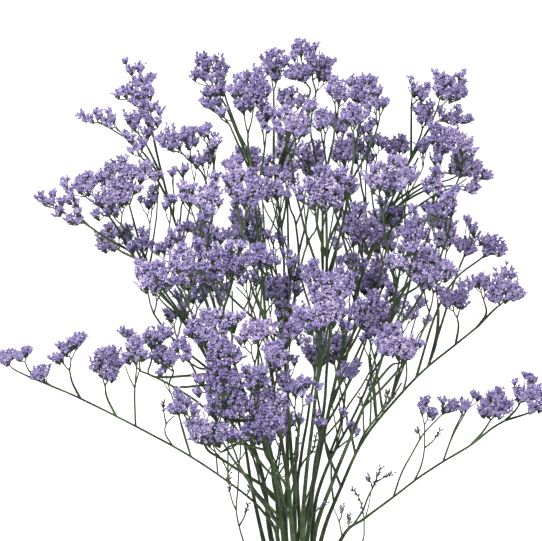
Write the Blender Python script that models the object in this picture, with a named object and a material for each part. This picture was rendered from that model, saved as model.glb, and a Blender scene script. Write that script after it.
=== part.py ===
# Dried statice: a tied bunch of branching green stems with dense violet flower heads, lying down.
#
# The bunch lies on its side on a table. +Y runs along the stems towards the flower heads, +X is to the
# right seen from above and +Z is up. Lengths in the lists are millimetres, and mm() makes them metres.

import math
from random import Random

import bmesh
import bpy
from mathutils import Vector

for old in list(bpy.data.objects):
    bpy.data.objects.remove(old)


def mm(value):
    return value * 0.001


# The bunch as a whole

LIE_HEIGHT = 60.0
GAP = 0.35
BUNCH_HALF_WIDTH = 200.0
SIDE_DROOP = 0.45
TIP_DROOP = 0.25

parts = bpy.data.collections.new("dried_statice")
cutters = bpy.data.collections.new("cutters")
bpy.context.scene.collection.children.link(parts)
bpy.context.scene.collection.children.link(cutters)


def settle(x, y, z):
    """Where a point of the flat layout comes to lie: the bunch is deepest in its middle."""
    side = (x / BUNCH_HALF_WIDTH) ** 2
    tip = max(0.0, (y - 120.0) / 180.0) ** 2
    squeeze = 1.0 - SIDE_DROOP * side - TIP_DROOP * tip
    return Vector((mm(x), mm(y), mm(LIE_HEIGHT + (z - LIE_HEIGHT) * squeeze)))


def finish_colour(name, colour, roughness):
    material = bpy.data.materials.new(name)
    material.use_nodes = True
    shader = material.node_tree.nodes["Principled BSDF"]
    shader.inputs["Base Color"].default_value = (*colour, 1.0)
    shader.inputs["Roughness"].default_value = roughness
    shader.inputs["Metallic"].default_value = 0.0
    return material


def place_part(mesh, name, material):
    part = bpy.data.objects.new(name, mesh)
    mesh.name = name
    mesh.materials.clear()
    mesh.materials.append(material)
    parts.objects.link(part)
    return part


# The main stems
# Each is a list of hand-laid points from the tie up, then its place in the tied bundle. A stem of the
# front layer climbs over the middle layer's heads, and the back heads hang under the middle stems.

STEM_ROUTES = {
    "left_outer": [(-6, -62, 46), (-14, -25, 52), (-22, 18, 60), (-42, 61, 66), (-66, 99, 68),
                   (-87, 126, 68), (-104, 148, 68), (-125, 160, 68)],
    "left_tall": [(0, -62, 48), (-6, -18, 56), (-22, 32, 64), (-38, 83, 68), (-54, 130, 68),
                  (-69, 166, 68), (-78, 198, 68), (-84, 223, 70), (-88, 244, 72)],
    "centre": [(11, -62, 50), (12, -11, 60), (11, 40, 68), (10, 90, 68), (9, 148, 68), (4, 191, 68),
               (1, 222, 70)],
    "right_upper": [(23, -62, 48), (32, -18, 58), (44, 40, 66), (57, 97, 68), (71, 144, 68),
                    (86, 180, 68), (99, 209, 68), (106, 222, 70)],
    "right_long": [(37, -62, 44), (51, -25, 54), (68, 11, 62), (96, 45, 66), (114, 63, 68),
                   (134, 79, 68), (150, 92, 70)],
    "right_arm": [(52, -62, 42), (68, -48, 50), (89, -32, 58), (107, -18, 64), (125, -6, 68),
                  (145, 6, 70), (160, 18, 74), (170, 24, 76)],
    "left_arm": [(5, -62, 66), (-6, -42, 74), (-22, -27, 78), (-58, -2, 82), (-98, 20, 84),
                 (-138, 40, 84), (-159, 49, 84), (-176, 56, 84)],
    "front_left": [(9, -62, 80), (4, -18, 108), (-12, 25, 124), (-27, 68, 130), (-40, 112, 132),
                   (-46, 148, 132), (-48, 162, 132)],
    "front_centre": [(16, -62, 82), (12, -18, 110), (5, 25, 126), (-2, 76, 132), (-6, 126, 132),
                     (-11, 176, 132), (-16, 220, 132), (-17, 234, 134)],
    "front_right": [(23, -62, 80), (25, -18, 108), (30, 25, 126), (35, 76, 132), (37, 126, 132),
                    (37, 173, 132), (37, 206, 132), (46, 234, 134)],
    "front_far": [(31, -62, 74), (45, -18, 104), (61, 22, 124), (77, 61, 130), (87, 104, 132),
                  (94, 140, 132), (103, 176, 132), (112, 200, 134)],
}
TIE_MIDDLE = (20.0, -112.0, 40.0)
STEM_SLOTS = {
    "left_outer": (-13.6, 0.0),
    "left_tall": (-7.0, -0.6),
    "centre": (-0.8, 1.0),
    "right_upper": (5.6, -0.4),
    "right_long": (8.8, -6.6),
    "right_arm": (13.0, -4.6),
    "left_arm": (-10.0, 6.0),
    "front_left": (-3.9, 7.4),
    "front_centre": (2.4, 7.9),
    "front_right": (8.7, 5.8),
    "front_far": (13.2, 1.2),
}
STEM_END_Y = -298.0
END_MIDDLE_Z = 13.0
END_SPREAD = 1.75
STEM_RADIUS_FOOT = 2.5
STEM_RADIUS_TIP = 1.2
ROUTE_STEPS = 2


def smooth_route(points, steps):
    """A smooth line through hand-laid points, with some steps between each two."""
    ends = [2 * points[0] - points[1]] + points + [2 * points[-1] - points[-2]]
    route = []
    for before, start, end, after in zip(ends, ends[1:], ends[2:], ends[3:]):
        for step in range(steps):
            t = step / steps
            route.append(0.5 * (2 * start + (end - before) * t
                                + (2 * before - 5 * start + 4 * end - after) * t * t
                                + (3 * start - before - 3 * end + after) * t * t * t))
    route.append(points[-1])
    return route


def stem_route(name, steps=ROUTE_STEPS):
    """A stem from its cut foot, through its slot in the tie, to its tip."""
    across, height = STEM_SLOTS[name]
    x, y, z = TIE_MIDDLE
    foot_y = STEM_END_Y + 1.1 * abs(across - 2.0)
    foot = settle(x + END_SPREAD * across, foot_y, END_MIDDLE_Z + END_SPREAD * height)
    shin = settle(x + 1.25 * across, 0.5 * (y + foot_y), 0.5 * (z + END_MIDDLE_Z) + 1.25 * height)
    tied = settle(x + across, y, z + height)
    points = [foot, shin, tied] + [settle(*point) for point in STEM_ROUTES[name]]
    return smooth_route(points, steps)


def tube(points, radii, sides, twist=0.0):
    """A round stem as a closed mesh object, from a bevelled curve with its caps welded."""
    curve = bpy.data.curves.new("tube", "CURVE")
    curve.dimensions = "3D"
    curve.bevel_depth = 1.0
    curve.bevel_resolution = (sides - 4) // 2
    curve.use_fill_caps = True
    spline = curve.splines.new("POLY")
    spline.points.add(len(points) - 1)
    for spot, point, radius in zip(spline.points, points, radii):
        spot.co = (*point, 1.0)
        spot.radius = mm(radius)
        spot.tilt = twist
    holder = bpy.data.objects.new("tube", curve)
    parts.objects.link(holder)
    bpy.context.view_layer.update()
    shape = bpy.data.meshes.new_from_object(holder.evaluated_get(bpy.context.evaluated_depsgraph_get()))
    bpy.data.objects.remove(holder)
    bm = bmesh.new()
    bm.from_mesh(shape)
    bmesh.ops.remove_doubles(bm, verts=bm.verts, dist=1e-6)
    bmesh.ops.recalc_face_normals(bm, faces=bm.faces)
    bm.to_mesh(shape)
    bm.free()
    return shape


# The flower heads
# Each head is a few clumps grown together, given as x, y and radius. Its core is drawn out towards the
# clumps, and each outward face of the core is raised into one flower cup with a sunken middle.

FRONT_HEADS = 166.0
MIDDLE_HEADS = 102.0
BACK_HEADS = 25.0
HEAD_LEVEL = {"front": FRONT_HEADS, "middle": MIDDLE_HEADS, "back": BACK_HEADS}
HEADS = {
    "front_left": [
        ("front", [(-53, 20, 10), (-68, 30, 8), (-38, 12, 9)]),
        ("front", [(-94, 74, 9), (-80, 86, 11), (-64, 77, 9), (-109, 78, 6)]),
        ("front", [(-50, 97, 12), (-30, 98, 11), (-38, 84, 10), (-12, 92, 11), (2, 78, 9), (-16, 80, 8)]),
        ("front", [(-92, 126, 9), (-76, 132, 12), (-60, 136, 10)]),
        ("front", [(-30, 140, 11), (-12, 142, 11), (1, 139, 7)]),
        ("front", [(-60, 189, 9), (-47, 182, 12), (-36, 191, 9), (-24, 196, 9), (-16, 190, 10)]),
        ("front", [(-36, 48, 11), (-23, 54, 10), (-24, 40, 9)]),
    ],
    "front_centre": [
        ("front", [(2, 38, 10), (18, 50, 11), (28, 42, 9)]),
        ("front", [(-20, 266, 8), (-11, 260, 8), (-18, 251, 8)]),
    ],
    "front_right": [
        ("front", [(21, 101, 11), (40, 103, 10), (34, 129, 11), (50, 124, 10)]),
        ("front", [(21, 192, 9), (37, 194, 12), (54, 198, 9), (34, 181, 9)]),
        ("front", [(9, 238, 9), (21, 241, 9), (27, 251, 6)]),
        ("front", [(51, 263, 10), (67, 268, 11), (76, 258, 9), (58, 250, 9)]),
    ],
    "front_far": [
        ("front", [(84, 80, 9), (97, 77, 9)]),
        ("front", [(93, 137, 9), (112, 134, 12), (125, 134, 7)]),
        ("front", [(76, 201, 9), (89, 204, 11), (87, 217, 6), (97, 196, 8)]),
        ("front", [(126, 232, 10), (138, 224, 10), (122, 221, 6)]),
        ("front", [(114, 192, 9), (129, 189, 9), (103, 163, 9), (116, 176, 7)]),
    ],
    "left_arm": [
        ("middle", [(-155, 73, 6), (-150, 79, 6), (-143, 85, 6)]),
        ("middle", [(-123, 67, 7), (-112, 67, 8), (-119, 60, 6)]),
    ],
    "left_outer": [
        ("middle", [(-112, 207, 9), (-96, 207, 8), (-119, 191, 9), (-104, 191, 9), (-119, 178, 9),
                    (-135, 196, 9)]),
        ("middle", [(-167, 184, 5), (-157, 186, 6), (-150, 180, 5), (-147, 170, 6)]),
        ("back", [(-119, 153, 7), (-107, 160, 7), (-114, 165, 6)]),
        ("back", [(-74, 101, 8), (-64, 96, 7)]),
    ],
    "left_tall": [
        ("middle", [(-99, 274, 9), (-89, 270, 6), (-102, 261, 9), (-90, 257, 8)]),
        ("middle", [(-99, 238, 9), (-86, 234, 7), (-100, 225, 8)]),
        ("middle", [(-71, 228, 9), (-60, 225, 6), (-48, 232, 6)]),
        ("middle", [(-80, 152, 9), (-68, 158, 8), (-93, 155, 8)]),
        ("back", [(-44, 114, 14), (-54, 118, 9)]),
    ],
    "centre": [
        ("middle", [(-50, 280, 8), (-40, 279, 6), (-48, 268, 9), (-44, 257, 8)]),
        ("middle", [(1, 283, 8), (21, 292, 8), (35, 284, 9), (19, 276, 8), (14, 261, 9)]),
        ("middle", [(-1, 18, 11), (-14, 15, 9), (11, 11, 6)]),
        ("middle", [(12, 114, 10), (14, 93, 10), (8, 103, 8)]),
        ("back", [(-46, 160, 12), (-55, 154, 8)]),
        ("back", [(-19, 166, 13)]),
        ("back", [(22, 212, 13), (10, 205, 10)]),
    ],
    "right_upper": [
        ("middle", [(55, 220, 10), (68, 222, 9), (45, 238, 8), (60, 240, 9)]),
        ("middle", [(106, 261, 8), (110, 247, 8), (126, 264, 10), (133, 253, 9)]),
        ("middle", [(142, 207, 11), (146, 195, 8)]),
        ("middle", [(54, 172, 9), (67, 168, 9), (81, 163, 7)]),
        ("back", [(84, 168, 13), (79, 155, 9)]),
        ("back", [(60, 127, 9), (72, 121, 11)]),
        ("back", [(122, 175, 11), (125, 159, 9)]),
    ],
    "right_long": [
        ("middle", [(130, 155, 9), (145, 158, 8), (159, 150, 9)]),
        ("middle", [(130, 114, 9), (152, 123, 8), (168, 122, 11), (140, 117, 6)]),
        ("middle", [(70, 99, 12), (58, 67, 9), (73, 86, 8)]),
        ("back", [(39, 77, 14), (50, 84, 9)]),
    ],
    "right_arm": [
        ("middle", [(157, 36, 6), (166, 42, 9), (180, 41, 9), (191, 44, 9)]),
    ],
}
YOUNG_HEADS = {
    "left_arm": [(-192, 70, 5), (-178, 77, 6), (-165, 60, 6)],
    "left_tall": [(-132, 244, 7), (-121, 245, 5)],
    "right_upper": [(97, 275, 5)],
}
HEAD_GROWTH = 1.3
CLUMP_LIFT = 8.0
HEAD_LIFT = 11.0
CUP_HEIGHT = 5.0
CUP_SINK = 1.6
CUP_STAND = 0.5
CUP_FLARE = 0.76
UNDERSIDE = 0.85
WIDE_HEAD = 31.0
WIDE_CUP = 0.8
YOUNG_CUP = 0.42
CORE_WANDER = 0.05
RIM_WANDER = 0.2
FAN_OUT = 0.65
BARE_BELOW = -0.42
PRESSED = 2.2
RESTING = {"head_left_tall_5", "head_centre_6", "head_right_upper_5", "head_right_long_4"}


def clump_lift(x, y):
    """How far a clump stands in front of or behind the middle of its head."""
    return CLUMP_LIFT * math.sin(0.21 * x + 0.13 * y) + HEAD_LIFT * math.sin(0.045 * x - 0.06 * y)


def head_clumps(level, clumps):
    """The clumps' middles in the flat layout, with their radii."""
    return [(Vector((x, y, HEAD_LEVEL[level] + clump_lift(x, y))), HEAD_GROWTH * radius)
            for x, y, radius in clumps]


def head_middle(placed):
    weight = sum(radius for middle, radius in placed)
    return sum((middle * radius for middle, radius in placed), Vector()) / weight


def around(count):
    """Directions spread evenly all round a point."""
    turn = math.pi * (3.0 - math.sqrt(5.0))
    directions = []
    for step in range(count):
        height = 1.0 - 2.0 * (step + 0.5) / count
        ring = math.sqrt(1.0 - height * height)
        directions.append(Vector((ring * math.cos(turn * step), ring * math.sin(turn * step), height)))
    return directions


def core_reach(direction, centre, placed):
    """How far the skin drawn over all the clumps lies that way, and short on its green underside."""
    reach = 1000.0
    for feeler in FEELERS:
        facing = feeler.dot(direction)
        if facing > 0.25:
            support = max((middle - centre).dot(feeler) + radius for middle, radius in placed)
            reach = min(reach, support / facing)
    if direction.y < 0.0:
        reach *= 1.0 + (1.0 - UNDERSIDE) * direction.y
    return reach


FEELERS = around(150)


def flower_head(name, level, clumps):
    draw = Random(name)
    placed = head_clumps(level, clumps)
    centre = head_middle(placed)
    wide = max((middle - centre).length + radius for middle, radius in placed) > WIDE_HEAD
    cup_height = CUP_HEIGHT * (WIDE_CUP if wide else 1.0)
    if len(clumps) == 1:
        cup_height = min(cup_height, YOUNG_CUP * clumps[0][2])
    core_wander = 0.0 if wide else CORE_WANDER
    bm = bmesh.new()
    bmesh.ops.create_icosphere(bm, subdivisions=2 if wide else 1, radius=1.0)
    for corner in bm.verts:
        direction = corner.co.normalized()
        reach = core_reach(direction, centre, placed) - CUP_STAND * cup_height
        spot = centre + direction * reach * draw.uniform(1.0 - core_wander, 1.0 + core_wander)
        corner.co = settle(*spot)
    bm.normal_update()
    heart = settle(*centre)
    flowering = [face for face in bm.faces if face.normal.y > BARE_BELOW]
    raised = bmesh.ops.extrude_discrete_faces(bm, faces=flowering)["faces"]
    for face in raised:
        middle = face.calc_center_median()
        outward = (middle - heart).normalized() * FAN_OUT + face.normal * (1.0 - FAN_OUT)
        lift = outward.normalized() * mm(cup_height * draw.uniform(0.8, 1.15))
        for corner in face.verts:
            wander = draw.uniform(-RIM_WANDER, RIM_WANDER) * mm(cup_height)
            corner.co = middle + (corner.co - middle) * CUP_FLARE + lift + face.normal * wander
    bm.normal_update()
    bmesh.ops.poke(bm, faces=raised, offset=-mm(CUP_SINK))
    if name in RESTING:
        drop = min(corner.co.z for corner in bm.verts) + mm(PRESSED)
        bmesh.ops.translate(bm, verts=bm.verts, vec=(0.0, 0.0, -drop))
    mesh = bpy.data.meshes.new(name)
    bm.to_mesh(mesh)
    bm.free()
    return mesh


# The branches
# A branch leaves its stem below the head, keeps to the stem's own height past the other heads, and
# comes up to a bare face under its head. It stops a hair short, because the two pieces only touch.

BRANCH_RADIUS_FOOT = 1.35
BRANCH_RADIUS_TIP = 0.95
FORK_STEEPNESS = (1.05, 0.7, 0.45, 0.25)
LONGEST_BRANCH = 90.0
BRANCH_CLIMB = 0.12
FORK_DROP = 14.0
NECK = 7.0
UNDER_FRONT = Vector((0.0, -0.75, -0.66))
UNDER_BACK = Vector((0.0, -0.75, 0.66))
BRANCH_TWIST = 0.4
FORK_STEPS = 6
YOUNG_NECK = 8.0
SEAM = 0.02


def fork_place(route, target, taken):
    """The highest place on a stem from which a short branch climbs steeply enough to the target."""
    for steepness in FORK_STEEPNESS:
        for place in range(len(route) - 2, 0, -1):
            reach = target - route[place]
            steep = reach.y >= steepness * (abs(reach.x) + mm(FORK_DROP))
            if steep and reach.length < mm(LONGEST_BRANCH) and place not in taken:
                return place
    raise ValueError("no place on the stem lies low enough for this branch")


def under_face(mesh, approach):
    """The bare face under a head that best meets a branch, as its middle and outward normal."""
    best = None
    for face in mesh.polygons:
        if len(face.vertices) != 3 or face.normal.y > -0.3:
            continue
        score = face.normal.dot(approach)
        if best is None or score > best[0]:
            best = (score, face.center.copy(), face.normal.copy())
    return best[1], best[2]


def branch(route, neck, end, taken):
    place = fork_place(route, end, taken)
    taken.update((place - 1, place, place + 1))
    start = route[place]
    middle = start.lerp(neck, 0.55)
    middle.z = start.z + BRANCH_CLIMB * (neck.z - start.z)
    radii = [BRANCH_RADIUS_FOOT, 0.5 * (BRANCH_RADIUS_FOOT + BRANCH_RADIUS_TIP), BRANCH_RADIUS_TIP,
             BRANCH_RADIUS_TIP]
    return tube([start, middle, neck, end], radii, 4, BRANCH_TWIST)


def tidy_seams(mesh):
    """Merge the slivers that a union leaves where two tubes meet."""
    bm = bmesh.new()
    bm.from_mesh(mesh)
    bmesh.ops.triangulate(bm, faces=bm.faces)
    bmesh.ops.remove_doubles(bm, verts=bm.verts, dist=mm(SEAM))
    bmesh.ops.dissolve_degenerate(bm, edges=bm.edges, dist=mm(SEAM))
    bmesh.ops.triangulate(bm, faces=bm.faces)
    bm.to_mesh(mesh)
    bm.free()


def join_meshes(name, meshes, material):
    """One closed body from meshes that cross, by a Boolean union on a collection."""
    group = bpy.data.collections.new("joined")
    bpy.context.scene.collection.children.link(group)
    for mesh in meshes[1:]:
        piece = bpy.data.objects.new("joined", mesh)
        group.objects.link(piece)
    part = place_part(meshes[0], name, material)
    if len(meshes) > 1:
        union = part.modifiers.new("join", "BOOLEAN")
        union.operation = "UNION"
        union.operand_type = "COLLECTION"
        union.collection = group
        union.solver = "EXACT"
        bpy.context.view_layer.update()
        ready = part.evaluated_get(bpy.context.evaluated_depsgraph_get())
        joined = bpy.data.meshes.new_from_object(ready)
        part.modifiers.remove(union)
        part.data = joined
        joined.name = name
        tidy_seams(joined)
    for piece in list(group.objects):
        bpy.data.objects.remove(piece)
    bpy.data.collections.remove(group)
    return part


violet = finish_colour("violet_flower", (0.24, 0.17, 0.46), 0.85)
heads = {}
for stem_name, stem_heads in HEADS.items():
    heads[stem_name] = []
    for number, (level, clumps) in enumerate(stem_heads, start=1):
        head_name = f"head_{stem_name}_{number}"
        head = place_part(flower_head(head_name, level, clumps), head_name, violet)
        heads[stem_name].append((head, level))

green = finish_colour("green_stem", (0.055, 0.09, 0.05), 0.7)
stems = {}
for stem_name in STEM_ROUTES:
    route = stem_route(stem_name)
    count = len(route) - 1
    radii = [STEM_RADIUS_FOOT + (STEM_RADIUS_TIP - STEM_RADIUS_FOOT) * place / count
             for place in range(count + 1)]
    meshes = [tube(route, radii, 6)]
    fine_route = stem_route(stem_name, FORK_STEPS)
    taken = set()
    for head, level in heads[stem_name]:
        spot, outward = under_face(head.data, UNDER_BACK if level == "back" else UNDER_FRONT)
        meshes.append(branch(fine_route, spot + outward * mm(NECK), spot + outward * mm(GAP), taken))
    for number, clump in enumerate(YOUNG_HEADS.get(stem_name, []), start=1):
        meshes.append(flower_head(f"young_{stem_name}_{number}", "middle", [clump]))
        root = settle(clump[0], clump[1], MIDDLE_HEADS + clump_lift(clump[0], clump[1]))
        neck = root + UNDER_FRONT * mm(YOUNG_NECK)
        meshes.append(branch(fine_route, neck, root, taken))
    stems[stem_name] = join_meshes(f"stem_{stem_name}", meshes, green)


# The tie
# A band of wound twine round the stems, just below where the picture ends.

TIE_HALF_WIDTH = 20.0
TIE_HALF_HEIGHT = 12.8
TIE_THICKNESS = 2.4
TIE_BAND = 7.0
TIE_STEPS = 20


def tie_band(material):
    bm = bmesh.new()
    x, y, z = TIE_MIDDLE
    profile = [(0.0, -0.5), (1.0, -0.5), (1.25, 0.0), (1.0, 0.5), (0.0, 0.5)]
    loops = []
    for step in range(TIE_STEPS):
        angle = 2.0 * math.pi * step / TIE_STEPS
        outward = Vector((math.cos(angle), 0.0, math.sin(angle)))
        inner = Vector((x + 0.5 + TIE_HALF_WIDTH * math.cos(angle), y,
                        z + 0.6 + TIE_HALF_HEIGHT * math.sin(angle)))
        loop = []
        for out, along in profile:
            spot = inner + outward * TIE_THICKNESS * out
            loop.append(bm.verts.new(settle(spot.x, y + TIE_BAND * along, spot.z)))
        loops.append(loop)
    for loop, following in zip(loops, loops[1:] + loops[:1]):
        for here in range(len(profile)):
            beside = (here + 1) % len(profile)
            bm.faces.new((loop[here], loop[beside], following[beside], following[here]))
    bmesh.ops.recalc_face_normals(bm, faces=bm.faces)
    mesh = bpy.data.meshes.new("tie")
    bm.to_mesh(mesh)
    bm.free()
    return place_part(mesh, "tie", material)


tie = tie_band(finish_colour("twine", (0.45, 0.33, 0.19), 0.9))


# The flats it rests on
# The lowest flower cups and stem foot are pressed flat where the bunch lies on the table.

TABLE_SIZE = 1000.0


def table_cutter():
    bpy.ops.mesh.primitive_cube_add(size=mm(TABLE_SIZE), location=(0.0, 0.0, -0.5 * mm(TABLE_SIZE)))
    table = bpy.context.active_object
    table.name = "table_cutter"
    for collection in list(table.users_collection):
        collection.objects.unlink(table)
    cutters.objects.link(table)
    table.hide_render = True
    table.display_type = "WIRE"
    return table


table = table_cutter()
for part in list(parts.objects):
    if min(corner.co.z for corner in part.data.vertices) < 0.0:
        press = part.modifiers.new("press", "BOOLEAN")
        press.operation = "DIFFERENCE"
        press.object = table
        press.solver = "EXACT"
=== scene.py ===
# Dried statice: a tied bunch of branching green stems with dense violet flower heads, lying on a table.
#
# The bunch lies on its side and is seen from straight above. +Y runs along the stems towards the flowers,
# +X is to the right and +Z is up. Lengths in the lists are millimetres, and mm() makes them metres.

import math
from random import Random

import bpy
import numpy as np
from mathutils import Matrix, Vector


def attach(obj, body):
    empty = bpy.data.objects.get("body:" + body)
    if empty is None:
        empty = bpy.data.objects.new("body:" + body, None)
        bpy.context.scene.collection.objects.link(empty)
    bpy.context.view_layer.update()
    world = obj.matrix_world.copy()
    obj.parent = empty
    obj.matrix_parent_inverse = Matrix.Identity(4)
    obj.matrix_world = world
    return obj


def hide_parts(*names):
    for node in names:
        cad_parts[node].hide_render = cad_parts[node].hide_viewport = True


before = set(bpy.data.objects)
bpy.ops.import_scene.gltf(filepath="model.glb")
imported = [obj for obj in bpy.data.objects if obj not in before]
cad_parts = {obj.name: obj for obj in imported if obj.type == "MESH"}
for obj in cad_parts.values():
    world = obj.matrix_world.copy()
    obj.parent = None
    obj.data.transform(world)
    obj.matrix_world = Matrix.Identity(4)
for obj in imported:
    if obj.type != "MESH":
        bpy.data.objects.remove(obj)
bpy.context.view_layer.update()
bpy.ops.object.select_all(action="DESELECT")


# The table, the light and the camera
# A plain white table under broad soft light from above the flowers, and a camera straight above it that
# frames the upper part of the bunch, as the photo does.

PICTURE_MIDDLE_Y = 132.8
PICTURE_WIDE = 390.2
PICTURE_LEVEL = 110.0
CAMERA_HEIGHT = 5000.0
SENSOR = 36.0
TABLE_SIZE = 9000.0
TABLE_SHADE = 0.9
TABLE_GLOW = 0.75
TABLE_ROUGHNESS = 0.9
SKY_STRENGTH = 0.55
KEY_PLACE = (-500.0, 1150.0, 1700.0)
KEY_SIZE = 700.0
KEY_POWER = 31.0
FRONT_PLACE = (450.0, -350.0, 2300.0)
FRONT_SIZE = 1100.0
FRONT_POWER = 34.0


def mm(value):
    return value * 0.001


def add_light(name, place, size, power):
    """A square soft light that faces the middle of the picture."""
    bpy.ops.object.light_add(type="AREA", location=[mm(value) for value in place])
    light = bpy.context.active_object
    light.name = name
    light.data.size = mm(size)
    light.data.energy = power
    target = Vector((0.0, mm(PICTURE_MIDDLE_Y), mm(PICTURE_LEVEL)))
    light.rotation_euler = (target - light.location).to_track_quat("-Z", "Y").to_euler()


bpy.ops.object.camera_add(location=(0.0, mm(PICTURE_MIDDLE_Y), mm(CAMERA_HEIGHT)), rotation=(0.0, 0.0, 0.0))
camera = bpy.context.active_object
camera.data.sensor_width = SENSOR
camera.data.lens = SENSOR * (CAMERA_HEIGHT - PICTURE_LEVEL) / PICTURE_WIDE
camera.data.clip_end = mm(10.0 * CAMERA_HEIGHT)
bpy.context.scene.camera = camera
bpy.context.scene.view_settings.view_transform = "Standard"

add_light("key_light", KEY_PLACE, KEY_SIZE, KEY_POWER)
add_light("front_light", FRONT_PLACE, FRONT_SIZE, FRONT_POWER)
world = bpy.data.worlds.new("soft_room")
bpy.context.scene.world = world
world.use_nodes = True
world.node_tree.nodes["Background"].inputs["Color"].default_value = (1.0, 1.0, 1.0, 1.0)
world.node_tree.nodes["Background"].inputs["Strength"].default_value = SKY_STRENGTH

bpy.ops.mesh.primitive_plane_add(size=mm(TABLE_SIZE), location=(0.0, mm(PICTURE_MIDDLE_Y), 0.0))
table = bpy.context.active_object
table.name = "table"
table_finish = bpy.data.materials.new("white_table")
table_finish.use_nodes = True
table_shader = table_finish.node_tree.nodes["Principled BSDF"]
table_shader.inputs["Base Color"].default_value = (TABLE_SHADE, TABLE_SHADE, TABLE_SHADE, 1.0)
table_shader.inputs["Roughness"].default_value = TABLE_ROUGHNESS
table_shader.inputs["Emission Color"].default_value = (1.0, 1.0, 1.0, 1.0)
table_shader.inputs["Emission Strength"].default_value = TABLE_GLOW
table.data.materials.append(table_finish)


# The main stems
# Eleven cut stems of a dried plant, dark green and finely ribbed. They come together in the tie and fan
# out from it. The routes from the tie up were read from the photo at 0.72 mm a pixel, with their heights
# guessed, and each stem has its slot in the tied bundle.

LIE_HEIGHT = 60.0
BUNCH_HALF_WIDTH = 200.0
SIDE_DROOP = 0.45
TIP_DROOP = 0.25
TIP_DROOP_FROM = 120.0
TIP_DROOP_OVER = 180.0
STEM_ROUTES = {
    "left_outer": [(-6, -62, 46), (-14, -25, 52), (-22, 18, 60), (-42, 61, 66), (-66, 99, 68),
                   (-87, 126, 68), (-104, 148, 68), (-125, 160, 68)],
    "left_tall": [(0, -62, 48), (-6, -18, 56), (-22, 32, 64), (-38, 83, 68), (-54, 130, 68),
                  (-69, 166, 68), (-78, 198, 68), (-84, 223, 70), (-88, 244, 72)],
    "centre": [(11, -62, 50), (12, -11, 60), (11, 40, 68), (10, 90, 68), (9, 148, 68), (4, 191, 68),
               (1, 222, 70)],
    "right_upper": [(23, -62, 48), (32, -18, 58), (44, 40, 66), (57, 97, 68), (71, 144, 68),
                    (86, 180, 68), (99, 209, 68), (106, 222, 70)],
    "right_long": [(37, -62, 44), (51, -25, 54), (68, 11, 62), (96, 45, 66), (114, 63, 68),
                   (134, 79, 68), (150, 92, 70)],
    "right_arm": [(52, -62, 42), (68, -48, 50), (89, -32, 58), (107, -18, 64), (125, -6, 68),
                  (145, 6, 70), (160, 18, 74), (170, 24, 76)],
    "left_arm": [(5, -62, 66), (-6, -42, 74), (-22, -27, 78), (-58, -2, 82), (-98, 20, 84),
                 (-138, 40, 84), (-159, 49, 84), (-176, 56, 84)],
    "front_left": [(9, -62, 80), (4, -18, 108), (-12, 25, 124), (-27, 68, 130), (-40, 112, 132),
                   (-46, 148, 132), (-48, 162, 132)],
    "front_centre": [(16, -62, 82), (12, -18, 110), (5, 25, 126), (-2, 76, 132), (-6, 126, 132),
                     (-11, 176, 132), (-16, 220, 132), (-17, 234, 134)],
    "front_right": [(23, -62, 80), (25, -18, 108), (30, 25, 126), (35, 76, 132), (37, 126, 132),
                    (37, 173, 132), (37, 206, 132), (46, 234, 134)],
    "front_far": [(31, -62, 74), (45, -18, 104), (61, 22, 124), (77, 61, 130), (87, 104, 132),
                  (94, 140, 132), (103, 176, 132), (112, 200, 134)],
}
TIE_MIDDLE = (20.0, -112.0, 40.0)
STEM_SLOTS = {
    "left_outer": (-13.6, 0.0),
    "left_tall": (-7.0, -0.6),
    "centre": (-0.8, 1.0),
    "right_upper": (5.6, -0.4),
    "right_long": (8.8, -6.6),
    "right_arm": (13.0, -4.6),
    "left_arm": (-10.0, 6.0),
    "front_left": (-3.9, 7.4),
    "front_centre": (2.4, 7.9),
    "front_right": (8.7, 5.8),
    "front_far": (13.2, 1.2),
}
STEM_END_Y = -298.0
END_MIDDLE_Z = 13.0
END_SPREAD = 1.75
END_STEP = 1.1
END_STEP_MIDDLE = 2.0
SHIN_SPREAD = 1.25
STEM_RADIUS_FOOT = 1.9
STEM_RADIUS_TIP = 0.6
STEM_FULL_TO = 0.3
STEM_BUTT = 0.5
STEM_TAPER = 0.55
BUTT_UP_TO = 3.0
SLENDER_FROM = 2.0
SLENDER_LEAST = 0.86
SLENDER = {"left_arm": 0.7, "right_arm": 0.72, "right_long": 0.95, "left_outer": 0.85}
ROUTE_STEPS = 6


def settle(x, y, z):
    """Where a point of the flat layout comes to lie: the bunch is deepest in its middle."""
    side = (x / BUNCH_HALF_WIDTH) ** 2
    tip = max(0.0, (y - TIP_DROOP_FROM) / TIP_DROOP_OVER) ** 2
    squeeze = 1.0 - SIDE_DROOP * side - TIP_DROOP * tip
    return Vector((mm(x), mm(y), mm(LIE_HEIGHT + (z - LIE_HEIGHT) * squeeze)))


def smooth_route(points, steps):
    """A smooth line through hand-laid points, with some steps between each two."""
    ends = [2 * points[0] - points[1]] + points + [2 * points[-1] - points[-2]]
    route = []
    for before, start, end, after in zip(ends, ends[1:], ends[2:], ends[3:]):
        for step in range(steps):
            t = step / steps
            route.append(0.5 * (2 * start + (end - before) * t
                                + (2 * before - 5 * start + 4 * end - after) * t * t
                                + (3 * start - before - 3 * end + after) * t * t * t))
    route.append(points[-1])
    return route


def stem_route(name):
    """A stem from its cut foot, through its slot in the tie, to its tip."""
    across, height = STEM_SLOTS[name]
    x, y, z = TIE_MIDDLE
    foot_y = STEM_END_Y + END_STEP * abs(across - END_STEP_MIDDLE)
    foot = settle(x + END_SPREAD * across, foot_y, END_MIDDLE_Z + END_SPREAD * height)
    shin = settle(x + SHIN_SPREAD * across, 0.5 * (y + foot_y),
                  0.5 * (z + END_MIDDLE_Z) + SHIN_SPREAD * height)
    tied = settle(x + across, y, z + height)
    points = [foot, shin, tied] + [settle(*point) for point in STEM_ROUTES[name]]
    return smooth_route(points, ROUTE_STEPS)


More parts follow.
